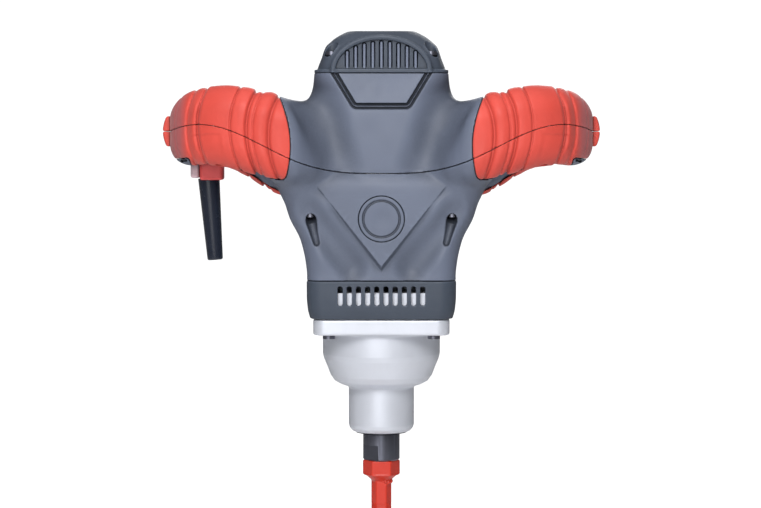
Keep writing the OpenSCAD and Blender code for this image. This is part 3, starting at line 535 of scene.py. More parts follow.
# The cap's strongly paled edges are a painted highlight on its arch bead and rims.
cap_plastic = plastic("cap_plastic", CAP_GREY, edge=2.4)
rib_plastic = plastic("rib_plastic", shade(SHELL_GREY, 0.85))
grip_rubber = rubber("grip_rubber", GRIP_RED, outer_end_colour=(0.40, 0.12, 0.13))
bumper_rubber = rubber("bumper_rubber", GRIP_RED)
clamp_plastic = plastic("clamp_plastic", (0.78, 0.10, 0.10), rough=(0.35, 0.48))
pale_plastic = plastic("pale_plastic", (0.66, 0.48, 0.53), rough=(0.3, 0.4))
black_rubber = rubber("black_rubber", (0.013, 0.017, 0.030), rough=(0.2, 0.28))
black_plastic = plastic("black_plastic", (0.018, 0.019, 0.022))
dark_steel = steel("dark_steel", (0.085, 0.088, 0.108), rough=(0.28, 0.42))
bright_steel = steel("bright_steel", (0.55, 0.56, 0.58))
copper = steel("copper", (0.70, 0.30, 0.14))
brass = steel("brass", (0.75, 0.55, 0.22))
carbon = plastic("carbon", (0.03, 0.03, 0.032), grain_mm=0.3)
cast_alloy = cast_metal("cast_alloy", (0.66, 0.685, 0.755), rough=(0.38, 0.48))
paddle_paint = paint("paddle_paint", (0.61, 0.032, 0.014))

SLOT_MATERIALS = {
    "cap_plastic": cap_plastic, "shell_plastic": shell_plastic, "grip_rubber": grip_rubber,
    "clamp_plastic": clamp_plastic, "black_rubber": black_rubber, "black_plastic": black_plastic,
    "dark_steel": dark_steel, "bright_steel": bright_steel, "copper": copper, "brass": brass,
    "carbon": carbon, "cast_alloy": cast_alloy, "paddle_paint": paddle_paint,
}


# ---------------------------------------------------------------- ring handles
BAR_THICK = 17.0
BAR_ROUND = 16.6
REACH = upper_high[0] + GRIP
RING_X = 62.0
RING_HALF = (REACH - BAR_THICK - RING_X, 51.0)
RING_POWER = 2.7
DOME_X = 119.5
bar_height = curve([(20, 176), (61, 181.5), (79, 186.2), (94, 190), (104, 191), (116, 191.2), (130, 189.8), (144, 188.2)])
bar_half = curve([(20, 28), (61, 28.2), (94, 27), (104, 25.9), (144, 25.6)])
rear_drop = curve([(40, 15), (75, 13), (95, 5), (112, 0)], 5)

MAP_STEP = 0.5
MAP_X = np.arange(0, 170, MAP_STEP)
MAP_Y = np.arange(-84, 84.1, MAP_STEP)


def ring_plan():
    """The bar's centre line in plan, from the front root round to the rear root."""
    ends = [(16.0, -14.0), (30.0, -24.0), (46.0, -38.5)]
    angles = np.radians(np.arange(-90, 91, 3))
    power = 2 / RING_POWER
    c = np.sign(np.cos(angles)) * np.abs(np.cos(angles)) ** power
    s = np.sign(np.sin(angles)) * np.abs(np.sin(angles)) ** power
    ring = list(zip(RING_X + RING_HALF[0] * c, RING_HALF[1] * s))
    return ends + ring + [(x, -y) for x, y in reversed(ends)]


def ring_table():
    """Signed distance in plan to the centre line: negative inside the ring."""
    x, y = np.meshgrid(MAP_X, MAP_Y, indexing="ij")
    plan = ring_plan()
    best = np.full(x.shape, 1e9)
    for (x0, y0), (x1, y1) in zip(plan, plan[1:]):
        dx, dy = x1 - x0, y1 - y0
        t = np.clip(((x - x0) * dx + (y - y0) * dy) / (dx * dx + dy * dy), 0, 1)
        best = np.minimum(best, (x - x0 - t * dx) ** 2 + (y - y0 - t * dy) ** 2)
    closed = polygon_field(x, y, plan)
    return np.where(closed < 0, -1, 1) * np.sqrt(best)


RING_TABLE = ring_table()


def beside_bar(x, y):
    """Signed sideways distance from the bar's centre line, by looking up the table."""
    u = np.clip(x / MAP_STEP, 0, len(MAP_X) - 1.001)
    v = np.clip((y - MAP_Y[0]) / MAP_STEP, 0, len(MAP_Y) - 1.001)
    i, j = u.astype(int), v.astype(int)
    fu, fv = u - i, v - j
    near = RING_TABLE[i, j] * (1 - fv) + RING_TABLE[i, j + 1] * fv
    far = RING_TABLE[i + 1, j] * (1 - fv) + RING_TABLE[i + 1, j + 1] * fv
    return near * (1 - fu) + far * fu


def bar_centre(x, y):
    return bar_height(x) - smooth_step(y, -25, 25) * rear_drop(x)


def bar_field(x, y, z):
    """The bare bar with its domed outer end, and the sideways distance from its centre line."""
    side = beside_bar(x, y)
    up = z - bar_centre(x, y)
    bar = rounded_box(side, up, BAR_THICK, bar_half(x), BAR_ROUND)
    dome = np.hypot(np.maximum(x - DOME_X - 4.5 * (up < 0), 0), up) - bar_half(x) - 0.2
    return soft_meet(bar, dome, 2.0), side


def part_height(x):
    """Height of the parting line between the upper and lower shells."""
    return PART_LOW + PART_RISE * ((1 - np.cos(np.pi * np.minimum(x, 165) / 120)) / 2) ** PART_POWER


PART_RISE = 32.2
PART_LOW = lower_high[2] - PART_RISE
PART_POWER = 1.7
GRIP_IN = 60.0
FOOT_X = 127.0
FOOT_UP = -19.5


def grip_zone(x, y, z, side):
    """Where the soft grip covers the bar."""
    up = z - bar_centre(x, y)
    inner_end = GRIP_IN - 0.6 + 7.5 * ((z - 178 + smooth_step(y, -25, 25) * 13) / 32) ** 2
    corner = -27.0 - 1.5 * smooth_step(x, 66, 84) - up
    zone = soft_meet(inner_end - x, corner, 5.0)
    inner_face = soft_meet(side + 7.0, np.abs(up) - 24.5, 2.0)
    foot = soft_meet(FOOT_X - x, up - FOOT_UP, 3.0)
    return soft_cut(zone, np.minimum(inner_face, foot), 1.5)


def grip_relief(x, y, z):
    """How far the grip's surface stands out from the bar: bulges, thin lines and a bead."""
    up = z - bar_centre(x, y)
    u = x + 5.5 * (up / 25) ** 2
    bulges = 1.1 * np.exp(-((u - 66.5) / 4.8) ** 2) + 1.7 * np.exp(-((u - 79) / 4.4) ** 2)
    bulges += 0.5 * np.exp(-((u - 93.5) / 3.6) ** 2)
    palm = 0.9 * smooth_step(u, 87.0, 90.5) * (1 - smooth_step(u, 118.5, 121.5))
    palm += 0.7 * np.exp(-((u - 109) / 8.0) ** 2)
    bead = 1.5 * np.exp(-((u - 124.0) / 2.0) ** 2) * (1 - 0.8 * smooth_step(np.abs(up), 12, 21))
    lines = 1.5 * thin_line(u, 73.6, 1.3) + 0.9 * thin_line(u, 84.0, 0.8) + 1.4 * thin_line(u, 88.2, 1.2)
    lines += 1.1 * thin_line(u, 98.8, 0.8) + 1.1 * thin_line(u, 120.6, 0.9) + 1.1 * thin_line(u, 128.4, 1.2)
    lines += 0.3 * thin_line(u, 137.5, 0.6)
    under = 0.5 * (1 - smooth_step(up, -6.0, -4.4)) * smooth_step(u, 104, 108) * (1 - smooth_step(u, 124, 128))
    return bulges + palm + bead - lines - under


# ---------------------------------------------------------------- motor housing
COLUMN = collar_high[0] - 0.3
column_half = curve([(80, COLUMN), (105, COLUMN), (125, COLUMN + 0.9), (172, COLUMN + 0.9), (200, 49.0),
                     (214, 46.2), (223, 44.9), (232, 44.3)], 3)
column_round = curve([(80, 11), (108, 12), (140, 16), (158, 22), (172, 31), (200, 31), (214, 24),
                      (224, 14)], 4)
WEB = [((61, 39, 168), 15), ((45, 36, 135), 15.2), ((35, 35, 108), 13)]


def housing_outside(p):
    """Column, ring bars and the webs that carry them, blended."""
    x, y, z = np.abs(p[:, 0]), p[:, 1], p[:, 2]
    half = column_half(z)
    column = rounded_box(x, y, half, half, column_round(z))
    bars, side = bar_field(x, y, z)
    folded = np.stack([x, np.abs(y), z], 1)
    web = tapered_capsule(folded, WEB[0][0], WEB[1][0], WEB[0][1], WEB[1][1])
    web = soft_union(web, tapered_capsule(folded, WEB[1][0], WEB[2][0], WEB[1][1], WEB[2][1]), 6)
    fillet = 8 + 5 * smooth_step(z, 196, 210)
    return soft_union(soft_union(column, bars, fillet), web, 9), column, bars, web, side


SHIELD_TIP = 92.5
SHIELD_SLOPE = 0.80
SHIELD_FRONT = -badge_low[1] - 0.7
SHIELD_BEVEL = 3.8
SHIELD_TOP = 167.0
shield_face = curve([(90, SHIELD_FRONT), (146, SHIELD_FRONT), (153, 52.2), (160, 49.0), (168, 42.0)], 3)


def shield_field(x, y, z):
    """The raised V on the front face, with a sloping edge."""
    edge = (x - SHIELD_SLOPE * (z - SHIELD_TIP)) / math.hypot(1, SHIELD_SLOPE)
    face = -y - shield_face(z)
    slope = (1.25 * (edge + SHIELD_BEVEL) + face) / math.hypot(1.25, 1)
    shield = np.maximum(np.maximum(slope, edge), np.maximum(face, 40 + y))
    shield = np.maximum(shield, z - SHIELD_TOP)
    return soft_meet(shield, x - 47.4, 2.0)


COVER_ROUND = 1.8
COVER = [(-28.6, CAP_SEAM + 2), (28.6, CAP_SEAM + 2), (16.0, 207.6), (-16.0, 207.6)]


def cover_outline(x, z):
    return polygon_field(x, z, [(float(a), float(b)) for a, b in COVER]) - COVER_ROUND


SCREW = (47.0, 43.0, 133.0)


def surface_depth(x, z):
    """Depth |y| of the housing's outer face at (x, z)."""
    depth = np.arange(20.0, 75.0, 0.1)
    points = np.stack([np.full(len(depth), x), -depth, np.full(len(depth), z)], 1)
    return float(depth[np.nonzero(housing_outside(points)[0] < 0)[0][-1]])


MOUTH = (46.3, surface_depth(46.3, 128.5) - 3.4, 128.5)
CHANNEL_END = (42.8, surface_depth(42.8, 114.5) - 1.2, 114.5)


def screw_channels(x, y, z):
    """Screwdriver passages up to the housing screws, each with a channel below its mouth."""
    folded = np.stack([x, np.abs(y), z], 1)
    hole = tapered_capsule(folded, SCREW, MOUTH, 3.4, 3.3)
    channel = tapered_capsule(folded, MOUTH, CHANNEL_END, 3.5, 2.4)
    bar_hole = np.hypot(x - 105.0, np.abs(y) - 47.0) - 4.2
    return np.minimum(np.minimum(hole, channel), np.maximum(bar_hole, z - 175.5))


def valley_field(x, y, z):
    """The hollow between the column's front ridge and the root of each handle."""
    folded = np.stack([x, np.abs(y), z], 1)
    return tapered_capsule(folded, (43.0, 59.0, 208.0), (25.0, 61.0, 165.0), 16.0, 12.0)


def pocket_field(x, y, z):
    """The dished area either side of the V, below its edge."""
    folded = np.stack([x, np.abs(y), z], 1)
    return tapered_capsule(folded, (19.5, 59.0, 98.0), (49.0, 61.0, 134.0), 13.2, 12.5)


def housing_shell(p):
    """The hollow body that both shells are cut from."""
    outside, column, bars, web, side = housing_outside(p)
    x, y, z = np.abs(p[:, 0]), p[:, 1], p[:, 2]
    valley, pocket = valley_field(x, y, z), pocket_field(x, y, z)
    outside = soft_cut(soft_cut(outside, valley, 9.0), pocket, 4.0)
    outside = soft_union(outside, shield_field(x, y, z), 0.8)
    zone = grip_zone(x, y, z, side)
    outside = soft_cut(outside, np.maximum(zone - 0.15, -(bars + GRIP + 0.15)), 0.5)
    notch = rounded_box(x - 131.5, z - bar_centre(x, y) + 21.2, 2.4, 0.7, 0.6)
    outside = soft_cut(outside, np.maximum(notch, -(bars + 1.2)), 0.4)
    ring = cover_outline(x, z)
    front = 60 - np.abs(y)
    grooves = 1.9 * thin_line(ring, 0.3, 0.8) + 1.5 * thin_line(ring, 2.7, 0.7)
    grooves = grooves - 0.3 * thin_line(ring, 1.5, 0.5)
    outside = outside + grooves * (front < 20)
    inside = np.minimum(np.minimum(column + WALL, web + WALL), bars + GRIP + WALL + 0.6)
    boss = tapered_capsule(np.stack([x, np.abs(y), z], 1), (SCREW[0], 30.0, SCREW[2]), MOUTH, 7.0, 7.0)
    kept = np.minimum(np.minimum(valley, pocket) - WALL - 3.0, boss)
    inside = np.maximum(np.maximum(inside, -kept), z - DECK)
    mouth = np.maximum(rounded_box(x, y, 36.0, 36.0, 12.0), DECK - 2 - z)
    seat = np.maximum(rounded_box(x, y, 40.0, 40.0, 14.0), CAP_SEAM - 8 - z)
    inside = np.minimum(inside, np.minimum(mouth, seat))
    inside = np.minimum(inside, screw_channels(x, y, z))
    return soft_cut(outside, inside, 0.9)


def control_openings(p):
    """Room for the trigger and lock button on the right, and the speed dial at the rear."""
    x, y, z = p[:, 0], p[:, 1], p[:, 2]
    mid_z = (trigger_low[2] + trigger_high[2]) / 2
    half_z = (trigger_high[2] - trigger_low[2]) / 2 + 0.7
    mid_x = (trigger_low[0] + trigger_high[0]) / 2
    half_x = (trigger_high[0] - trigger_low[0]) / 2 + 0.9
    slot = np.maximum(rounded_box(x - mid_x, z - mid_z, half_x, half_z, 3.0), slab(y, -42.5, -18))
    button = np.maximum(np.hypot(x - 64, z - 184) - 7.2, slab(y, -43.5, -18))
    dial = np.hypot(x, y - (dial_low[1] + dial_high[1]) / 2) - (dial_high[1] - dial_low[1]) / 2 - 0.8
    dial = np.maximum(dial, slab(z, dial_low[2] - 0.5, dial_high[2] + 0.5))
    return np.minimum(np.minimum(slot, button), dial)


def upper_shell(p):
    d = housing_shell(p)
    x, z = np.abs(p[:, 0]), p[:, 2]
    slope = 0.93
    d = soft_meet(d, (part_height(x) + SEAM - z) * slope, 0.5)
    d = soft_meet(d, z - (CAP_SEAM - SEAM), 0.4)
    return soft_cut(d, control_openings(p), 0.6)


def lower_shell(p):
    d = housing_shell(p)
    x, y, z = p[:, 0], p[:, 1], p[:, 2]
    slope = 0.93
    d = soft_meet(d, (z - part_height(np.abs(x)) + SEAM) * slope, 0.5)
    d = soft_meet(d, COLLAR_SEAM + SEAM - z, 0.7)
    d = soft_cut(d, control_openings(p), 0.6)
    badge = np.hypot(x, z - BADGE_Z) - BADGE_R - 0.25
    d = soft_cut(d, np.maximum(badge, y + SHIELD_FRONT - 1.9), 0.4)
    return soft_cut(d, cord_block(p, 0.3), 0.4)


BADGE_R = (badge_high[0] - badge_low[0]) / 2
BADGE_Z = (badge_high[2] + badge_low[2]) / 2


def cord_block(p, grow):
    middle = (clamp_low + clamp_high) / 2
    half = (clamp_high - clamp_low) / 2
    q = p - middle
    return np.maximum(rounded_box(q[:, 0], q[:, 1], half[0] + grow, half[1] + grow, 1.5), slab(q[:, 2], -60, half[2] + grow))


def build_housing():
    low = (-REACH, -70, COLLAR_SEAM)
    high = (REACH, 70, CAP_SEAM)
    moulded("upper_housing_shell", upper_shell, (low[0], low[1], PART_LOW - 1), high, SHELL_STEP,
            shell_plastic, FIXED, ["upper_housing"])
    moulded("lower_housing_shell", lower_shell, low, (high[0], high[1], lower_high[2] + 1), SHELL_STEP,
            shell_plastic, FIXED, ["lower_housing"])


def service_cover_field(p):
    """The panel under the cap, front and rear, set into the shell inside its groove."""
    x, y, z = np.abs(p[:, 0]), p[:, 1], p[:, 2]
    outside = housing_outside(p)[0]
    plate = np.maximum(outside - 0.35, -(outside + 2.2))
    return soft_meet(soft_meet(plate, cover_outline(x, z) + 0.5, 0.6), z - (CAP_SEAM - 0.6), 0.5)


def build_service_covers():
    for name, side in (("front_service_cover", -1), ("rear_service_cover", 1)):
        def field(p, side=side):
            return np.maximum(service_cover_field(p), 30 - side * p[:, 1])
        low = (-33, 30 if side > 0 else -56, 202)
        high = (33, 56 if side > 0 else -30, CAP_SEAM)
        moulded(name + "_plate", field, low, high, FINE_STEP, shell_plastic, FIXED, [name])


# ---------------------------------------------------------------- soft grips and bumpers
def grip_field(p, upper, side):
    x, y, z = np.abs(p[:, 0]), p[:, 1], p[:, 2]
    bars, beside = bar_field(x, y, z)
    out = bars - grip_relief(x, y, z)
    zone = grip_zone(x, y, z, beside)
    d = soft_meet(out, zone + 0.05, 0.8)
    d = soft_cut(d, bars + GRIP - 0.05, 0.3)
    seam = (part_height(x) - z) * 0.93
    d = soft_meet(d, (seam if upper else -seam) + SEAM, 0.4)
    d = soft_cut(d, screw_channels(x, y, z) - 0.4, 0.6)
    d = soft_cut(d, bumper_block(x, y, z) - 0.3, 0.4)
    d = np.maximum(d, -(side * p[:, 0]))
    if side > 0:
        d = soft_cut(d, control_openings(p) - 0.4, 0.5)
    elif not upper:
        d = soft_cut(d, cord_block(p, 0.35), 0.5)
    return d


def build_grips():
    for name, side in (("left", -1), ("right", 1)):
        for half, upper in (("upper", True), ("lower", False)):
            def field(p, upper=upper, side=side):
                return grip_field(p, upper, side)
            z_range = (158, 222) if upper else (138, 196)
            edge = sorted((side * 54.0, side * (REACH + 2)))
            moulded(f"{name}_grip_{half}_skin", field, (edge[0], -72, z_range[0]), (edge[1], 72, z_range[1]),
                    SHELL_STEP, grip_rubber, FIXED, [f"{name}_grip_{half}"], 150000)


def bumper_block(x, y, z):
    middle = (bumper_low[2] + bumper_high[2]) / 2
    half = (bumper_high[2] - bumper_low[2]) / 2
    return np.maximum(rounded_box(y, z - middle, 14.0, half, 2.0), bumper_low[0] - x)


def bumper_field(p):
    """Two pads, above and below the seam, at the tip of a ring handle."""
    x, y, z = np.abs(p[:, 0]), p[:, 1], p[:, 2]
    middle = (bumper_low[2] + bumper_high[2]) / 2
    half = (bumper_high[2] - bumper_low[2]) / 2
    up = np.abs(z - middle)
    crown = bumper_high[0] - 2.6 * (up / half) ** 2 - 1.2 * (y / 14) ** 2
    pad = rounded_box(y, up - half / 2, 14.0, half / 2 - 0.12, 0.7)
    return soft_meet(pad, np.maximum(x - crown, bumper_low[0] + 0.8 - x), 1.4)


def build_bumpers():
    for name, side in (("left", -1), ("right", 1)):
        def field(p, side=side):
            return np.maximum(bumper_field(p), -side * p[:, 0])
        ends = sorted((side * (bumper_low[0] - 1), side * (bumper_high[0] + 1)))
        moulded(name + "_bumper_pads", field, (ends[0], -16, bumper_low[2] - 1), (ends[1], 16, bumper_high[2] + 1),
                0.5, bumper_rubber, FIXED, [name + "_bumpers"])


# ---------------------------------------------------------------- motor cap
cap_half = curve([(226.5, 44.2), (228.6, 42.9), (232.7, 41.5), (236.8, 39.9), (240.9, 38.7),
                  (245, 37.0), (247, 34.6), (249, 32.6), (251, 30.0), (253, 26.7), (255.3, 22.2)], 0.8)
CAP_TOP = cap_high[2]
ARCH_HALF = 33.6
ARCH_TALL = 23.4
ARCH_FACE = 44.6
RIB_PITCH = 5.65
RIBS = 9


def cap_solid(x, y, z):
    half = cap_half(z)
    walls = rounded_box(x, y, half, half, np.clip(half * 0.42, 8, 16)) * 0.86
    return soft_meet(walls, z - CAP_TOP, 1.5)


def arch_field(x, z, grow):
    """Distance to the half ellipse of the louvre arch, about."""
    a, b = ARCH_HALF + grow, ARCH_TALL + grow
    v = np.maximum(z - CAP_SEAM - 1.5, -3)
    r = np.sqrt((x / a) ** 2 + (v / b) ** 2)
    return (r - 1) * np.minimum(a, b) * 0.9


def rib_top(i):
    """Height above the seam at which the louvre slot i, counted from the middle, ends."""
    return 1.5 + (ARCH_TALL - 3.8) * math.sqrt(1 - (abs(i) * RIB_PITCH / (ARCH_HALF - 2.6)) ** 2)


def louvre_slots(x, z, width):
    d = np.full(x.shape, 1e3)
    for i in range(RIBS // 2 + 1):
        low, high = CAP_SEAM + 3.2, CAP_SEAM + rib_top(i)
        mid, half = (low + high) / 2, (high - low) / 2
        d = np.minimum(d, rounded_box(x - i * RIB_PITCH, z - mid, width / 2, half, width / 2 * 0.98))
    return d


def top_cap_field(p):
    x, y, z = np.abs(p[:, 0]), np.abs(p[:, 1]), p[:, 2]
    solid = cap_solid(x, y, z)
    face = y - ARCH_FACE
    bead = 0.9 * thin_line(arch_field(x, z, -1.7), 0, 1.5)
    arch = soft_meet(np.maximum(arch_field(x, z, 0), 18 - y), face - bead, 0.9)
    solid = soft_union(solid, arch, 1.6)
    lip = np.maximum(rounded_box(x, y, 44.6, 44.6, 14.0), slab(z, CAP_SEAM, CAP_SEAM + 2.1))
    solid = soft_union(solid, lip, 0.7)
    lug = tapered_capsule(np.stack([x, y, z], 1), (33, 33, CAP_SEAM + 3), (32, 32, CAP_SEAM + 14), 6.2, 5.2)
    solid = soft_union(solid, lug, 2.2)
    recess = np.maximum(arch_field(x, z, -3.3), ARCH_FACE - 1.2 - y)
    recess = np.maximum(recess, CAP_SEAM + 2.6 - z)
    solid = soft_cut(solid, recess, 0.5)
    head = np.maximum(np.hypot(x - 33, y - 33) - 4.3, CAP_SEAM + 10.6 - z)
    solid = soft_cut(solid, head, 0.7)
    shank = np.hypot(x - 33, y - 33) - 2.3
    hollow = np.maximum(cap_solid(x, y, z + 2.6) + 2.6, CAP_SEAM - 2 - z)
    hollow = soft_cut(hollow, lug - 0.5, 0.5)
    hollow = soft_cut(hollow, np.maximum(y - 1.2, CAP_SEAM + 2.6 - z), 0.5)
    slots = np.maximum(louvre_slots(x, z, 3.0), 30 - y)
    solid = soft_cut(solid, slots, 0.4)
    solid = np.maximum(solid, -np.minimum(hollow, np.maximum(shank, z - CAP_SEAM - 12)))
    return soft_meet(solid, CAP_SEAM - z, 0.5)


def round_bar(width, depth, low, high, y):
    """A flat bar with a half-round top, standing upright with its face towards -Y at depth y."""
    r = width / 2
    arc = [(r * math.cos(a), high - r + r * math.sin(a)) for a in np.linspace(0, math.pi, 9)]
    outline = [(-r, low), (r, low)] + arc
    chamfer = 0.35
    rings = [(1 - chamfer / r, y), (1, y + chamfer), (1, y + depth)]
    vertices, faces = [], []
    for scale, place in rings:
        for s, t in outline:
            vertices.append((s * scale, place, t - (1 - scale) * r * (t > high - r)))
    n = len(outline)
    for k in range(len(rings) - 1):
        for i in range(n):
            j = (i + 1) % n
            faces.append((k * n + i, (k + 1) * n + i, (k + 1) * n + j, k * n + j))
    faces.append(tuple(range(n)))
    faces.append(tuple(2 * n + i for i in range(n - 1, -1, -1)))
    return np.array(vertices), faces


def build_cap():
    moulded("top_cap_shell", top_cap_field, (-46.5, -46.5, CAP_SEAM), (46.5, 46.5, CAP_TOP), FINE_STEP,
            cap_plastic, FIXED, ["top_cap"])
    for name, side in (("front_louvre_ribs", 1), ("rear_louvre_ribs", -1)):
        bars = []
        for i in range(-(RIBS // 2), RIBS // 2 + 1):
            v, f = round_bar(1.7, 4.5, CAP_SEAM + 2.9, CAP_SEAM + rib_top(i) - 0.6, -ARCH_FACE + 0.3)
            v[:, 0] += i * RIB_PITCH
            if side < 0:
                v[:, :2] *= -1
            bars.append((v, f))
        new_piece(name, *joined(*bars), rib_plastic, FIXED, smooth=False)


# ---------------------------------------------------------------- vent collar
COLLAR_HALF = collar_high[0]
SLOTS = 10
SLOT_PITCH = 6.07
SLOT_LOW, SLOT_HIGH = 72.4, 85.3
collar_width = curve([(60, COLLAR_HALF - 2.8), (64, COLLAR_HALF - 2.2), (68, COLLAR_HALF - 0.9),
                      (76, COLLAR_HALF - 0.1), (92, COLLAR_HALF)], 1.5)


def collar_field(p):
    x, y, z = np.abs(p[:, 0]), np.abs(p[:, 1]), p[:, 2]
    half = collar_width(z)
    d = rounded_box(x, y, half, half, 11.0)
    d = soft_meet(d, np.maximum(z - collar_high[2] + 0.1, collar_low[2] - z), 1.2)
    groove = np.maximum(rounded_box(y, z - 79, 27, 7.5, 1.0), -rounded_box(y, z - 79, 26.0, 6.5, 0.8))
    tab = np.maximum(groove, 48 - x)
    d = soft_cut(d, np.maximum(tab, half - 0.8 - x), 0.3)
    slots = np.full(x.shape, 1e3)
    middle, half_tall = (SLOT_LOW + SLOT_HIGH) / 2, (SLOT_HIGH - SLOT_LOW) / 2
    for i in range(SLOTS // 2):
        slots = np.minimum(slots, rounded_box(x - (i + 0.5) * SLOT_PITCH, z - middle, 1.68, half_tall, 1.6))
    d = soft_cut(d, np.maximum(slots, 30 - y), 0.5)
    return soft_cut(d, rounded_box(x, y, 45.6, 45.6, 10.0), 0.5)


def build_collar():
    moulded("vent_collar_band", collar_field, (-51, -51, collar_low[2]), (51, 51, collar_high[2]), FINE_STEP,
            cap_plastic, FIXED, ["vent_collar"])


# ---------------------------------------------------------------- gear case
FLANGE_HALF = case_high[0]
FLANGE_LOW, FLANGE_TOP = 52.2, case_high[2]
NECK_R = 22.0
NECK_END = case_low[2] + 0.8
BOWL = [(0, NECK_END), (16.6, NECK_END), (19.6, NECK_END + 1.0), (21.3, NECK_END + 3.0), (NECK_R, NECK_END + 5.2),
        (NECK_R, 13.4), (22.8, 14.6), (27.6, 16.2), (31.6, 18.4), (34.3, 22.0), (36.6, 28.0), (38.9, 33.5), (39.7, 37),
        (39.7, 56), (0, 56)]


def gear_case_field(p):
    x, y, z = p[:, 0], p[:, 1], p[:, 2]
    r = np.hypot(x, y)
    turned = polygon_field(r, z, [(float(a), float(b)) for a, b in BOWL]) - 0.3
    flange = rounded_box(x, y, FLANGE_HALF, FLANGE_HALF, 8.5)
    flange = soft_meet(flange, slab(z, FLANGE_LOW, FLANGE_TOP), 1.8)
    d = soft_union(turned, flange, 2.2)
    boss = np.hypot(np.abs(x) - 35, np.abs(y) - 35) - 6.5
    d = soft_cut(d, np.maximum(np.maximum(boss, z - FLANGE_LOW - 0.1), 38 - z), 0.8)
    turn = math.radians(45)
    lx, ly = 22 * math.cos(turn), 22 * math.sin(turn)
    beside = np.hypot(x - lx, y - ly)
    room = np.maximum(r - 36, 33.6 - z)
    room = np.minimum(room, np.maximum(r - 21.8, 21 - z))
    room = np.minimum(room, np.maximum(beside - 20.4, 54.0 - z))
    room = np.minimum(room, np.maximum(beside - 6.1, 22.6 - z))
    room = np.minimum(room, np.maximum(r - 17.6, z - 18.2))
    room = np.minimum(room, np.maximum(r - 14, z - 24))
    screws = np.hypot(np.abs(x) - 35, np.abs(y) - 35) - 2.65
    return soft_cut(d, np.minimum(room, screws), 0.3)


def build_gear_case():
    moulded("gear_case_casting", gear_case_field, (-46, -46, case_low[2] - 0.3), (46, 46, FLANGE_TOP), FINE_STEP,
            cast_alloy, FIXED, ["gear_case"])


# ---------------------------------------------------------------- badge, cord entry
def badge_field(p):
    x, y, z = p[:, 0], p[:, 1], p[:, 2]
    r = np.hypot(x, z - BADGE_Z)
    d = soft_meet(r - BADGE_R, slab(y, -SHIELD_FRONT - 0.25, -SHIELD_FRONT + 1.7), 0.7)
    groove = np.hypot(r - BADGE_R + 3.0, y + SHIELD_FRONT + 0.35) - 0.75
    dish = np.hypot(r, y + SHIELD_FRONT + 42.0) - 42.2
    return soft_cut(soft_cut(d, groove, 0.3), dish, 0.3)


def build_badge():
    moulded("badge_disc", badge_field, (-BADGE_R - 1, -55, BADGE_Z - BADGE_R - 1), (BADGE_R + 1, -50, BADGE_Z + BADGE_R + 1),
            0.5, shell_plastic, FIXED, ["badge"])


CORD_TILT = math.radians(4.3)
CORD_R = 4.0
cord_top = np.array([-117.0, -6.0, clamp_low[2]])
cord_down = np.array([math.sin(CORD_TILT), 0, -math.cos(CORD_TILT)])


def cord_axis(p):
    q = p - cord_top
    along = q @ cord_down
    return np.linalg.norm(q - along[:, None] * cord_down, axis=1), along


CLAMP_SPLIT = clamp_low[0] + 6.2


def clamp_field(p, low, high, r):
    """A rounded block between two corners, bored for the cord."""
    q = p - (low + high) / 2
    half = (high - low) / 2
    block = rounded_box(q[:, 0], q[:, 1], half[0], half[1], r)
    block = soft_meet(block, np.abs(q[:, 2]) - half[2], 2.0)
    return soft_cut(block, cord_axis(p)[0] - CORD_R - 0.3, 0.4)


def build_cord():
    low = np.array([CLAMP_SPLIT, clamp_low[1], clamp_low[2]])
    pale_low = clamp_low + np.array([0, 2.0, 1.4])
    pale_high = np.array([CLAMP_SPLIT - 0.2, clamp_high[1] - 2.0, clamp_high[2] - 1.0])
    moulded("cord_clamp_block", lambda p: clamp_field(p, low, clamp_high, 2.2), low - 1, clamp_high + 1, 0.5,
            clamp_plastic, FIXED, ["cord_clamp"])
    moulded("cord_clamp_side", lambda p: clamp_field(p, pale_low, pale_high, 1.6), pale_low - 1, pale_high + 1, 0.5,
            pale_plastic, FIXED)
    length = (cord_top[2] - sleeve_low[2]) / math.cos(CORD_TILT) - 1.5
    rings = [(4.15, -1.4), (7.1, -1.4), (7.3, -1.0)]
    rings += [(7.28 - 2.0 * t, -0.8 + t * (length + 0.8)) for t in np.linspace(0.0, 1, 26)]
    rings += [(5.0, length + 0.9), (4.6, length + 1.2), (4.1, length + 1.1), (4.1, length - 3)]
    v, f = lathe([(r, -z) for r, z in reversed(rings)], 64)
    turn = Matrix.Rotation(-CORD_TILT, 3, "Y")
    v = v @ np.array(turn).T + cord_top
    new_piece("cord_sleeve_boot", v, f, black_rubber, FIXED, ["cord_sleeve"])


# ---------------------------------------------------------------- paddle
NUT_FLATS = 11.0
ROD_FLATS = 6.0


def hexagon(x, y, flats, r):
    """Distance to a hexagonal bar with corners on the X axis."""
    a = np.abs(y)
    b = np.abs(x) * math.cos(math.radians(30)) + np.abs(y) * 0.5
    return soft_meet(a, b, r) - flats


def nut_field(p):
    x, y, z = p[:, 0], p[:, 1], p[:, 2]
    top = spindle_low[2] - 0.15
    r = np.hypot(x, y)
    nut = hexagon(x, y, NUT_FLATS, 0.5)
    nut = soft_meet(nut, slab(z, top - 10.4, top), 0.3)
    nut = soft_meet(nut, (r - 12.7 + np.abs(z - top + 5.2) - 4.4) * 0.7, 0.3)
    cone = np.maximum((r - 10.9 + (top - 10.3 - z) * 1.15) * 0.66, slab(z, top - 14.4, top - 9.5))
    rod = np.maximum(hexagon(x, y, ROD_FLATS, 0.8), slab(z, top - 30, top - 9))
    d = soft_union(soft_union(nut, cone, 0.5), rod, 0.7)
    for k in range(5):
        a = math.radians(-65 + 24 * k)
        bead = np.linalg.norm(p - np.array([6.6 * math.cos(a), 6.6 * math.sin(a), top - 14.6 - 0.5 * (k % 2)]), axis=1)
        d = soft_union(d, bead - 1.1 - 0.25 * (k % 3), 0.6)
    return d


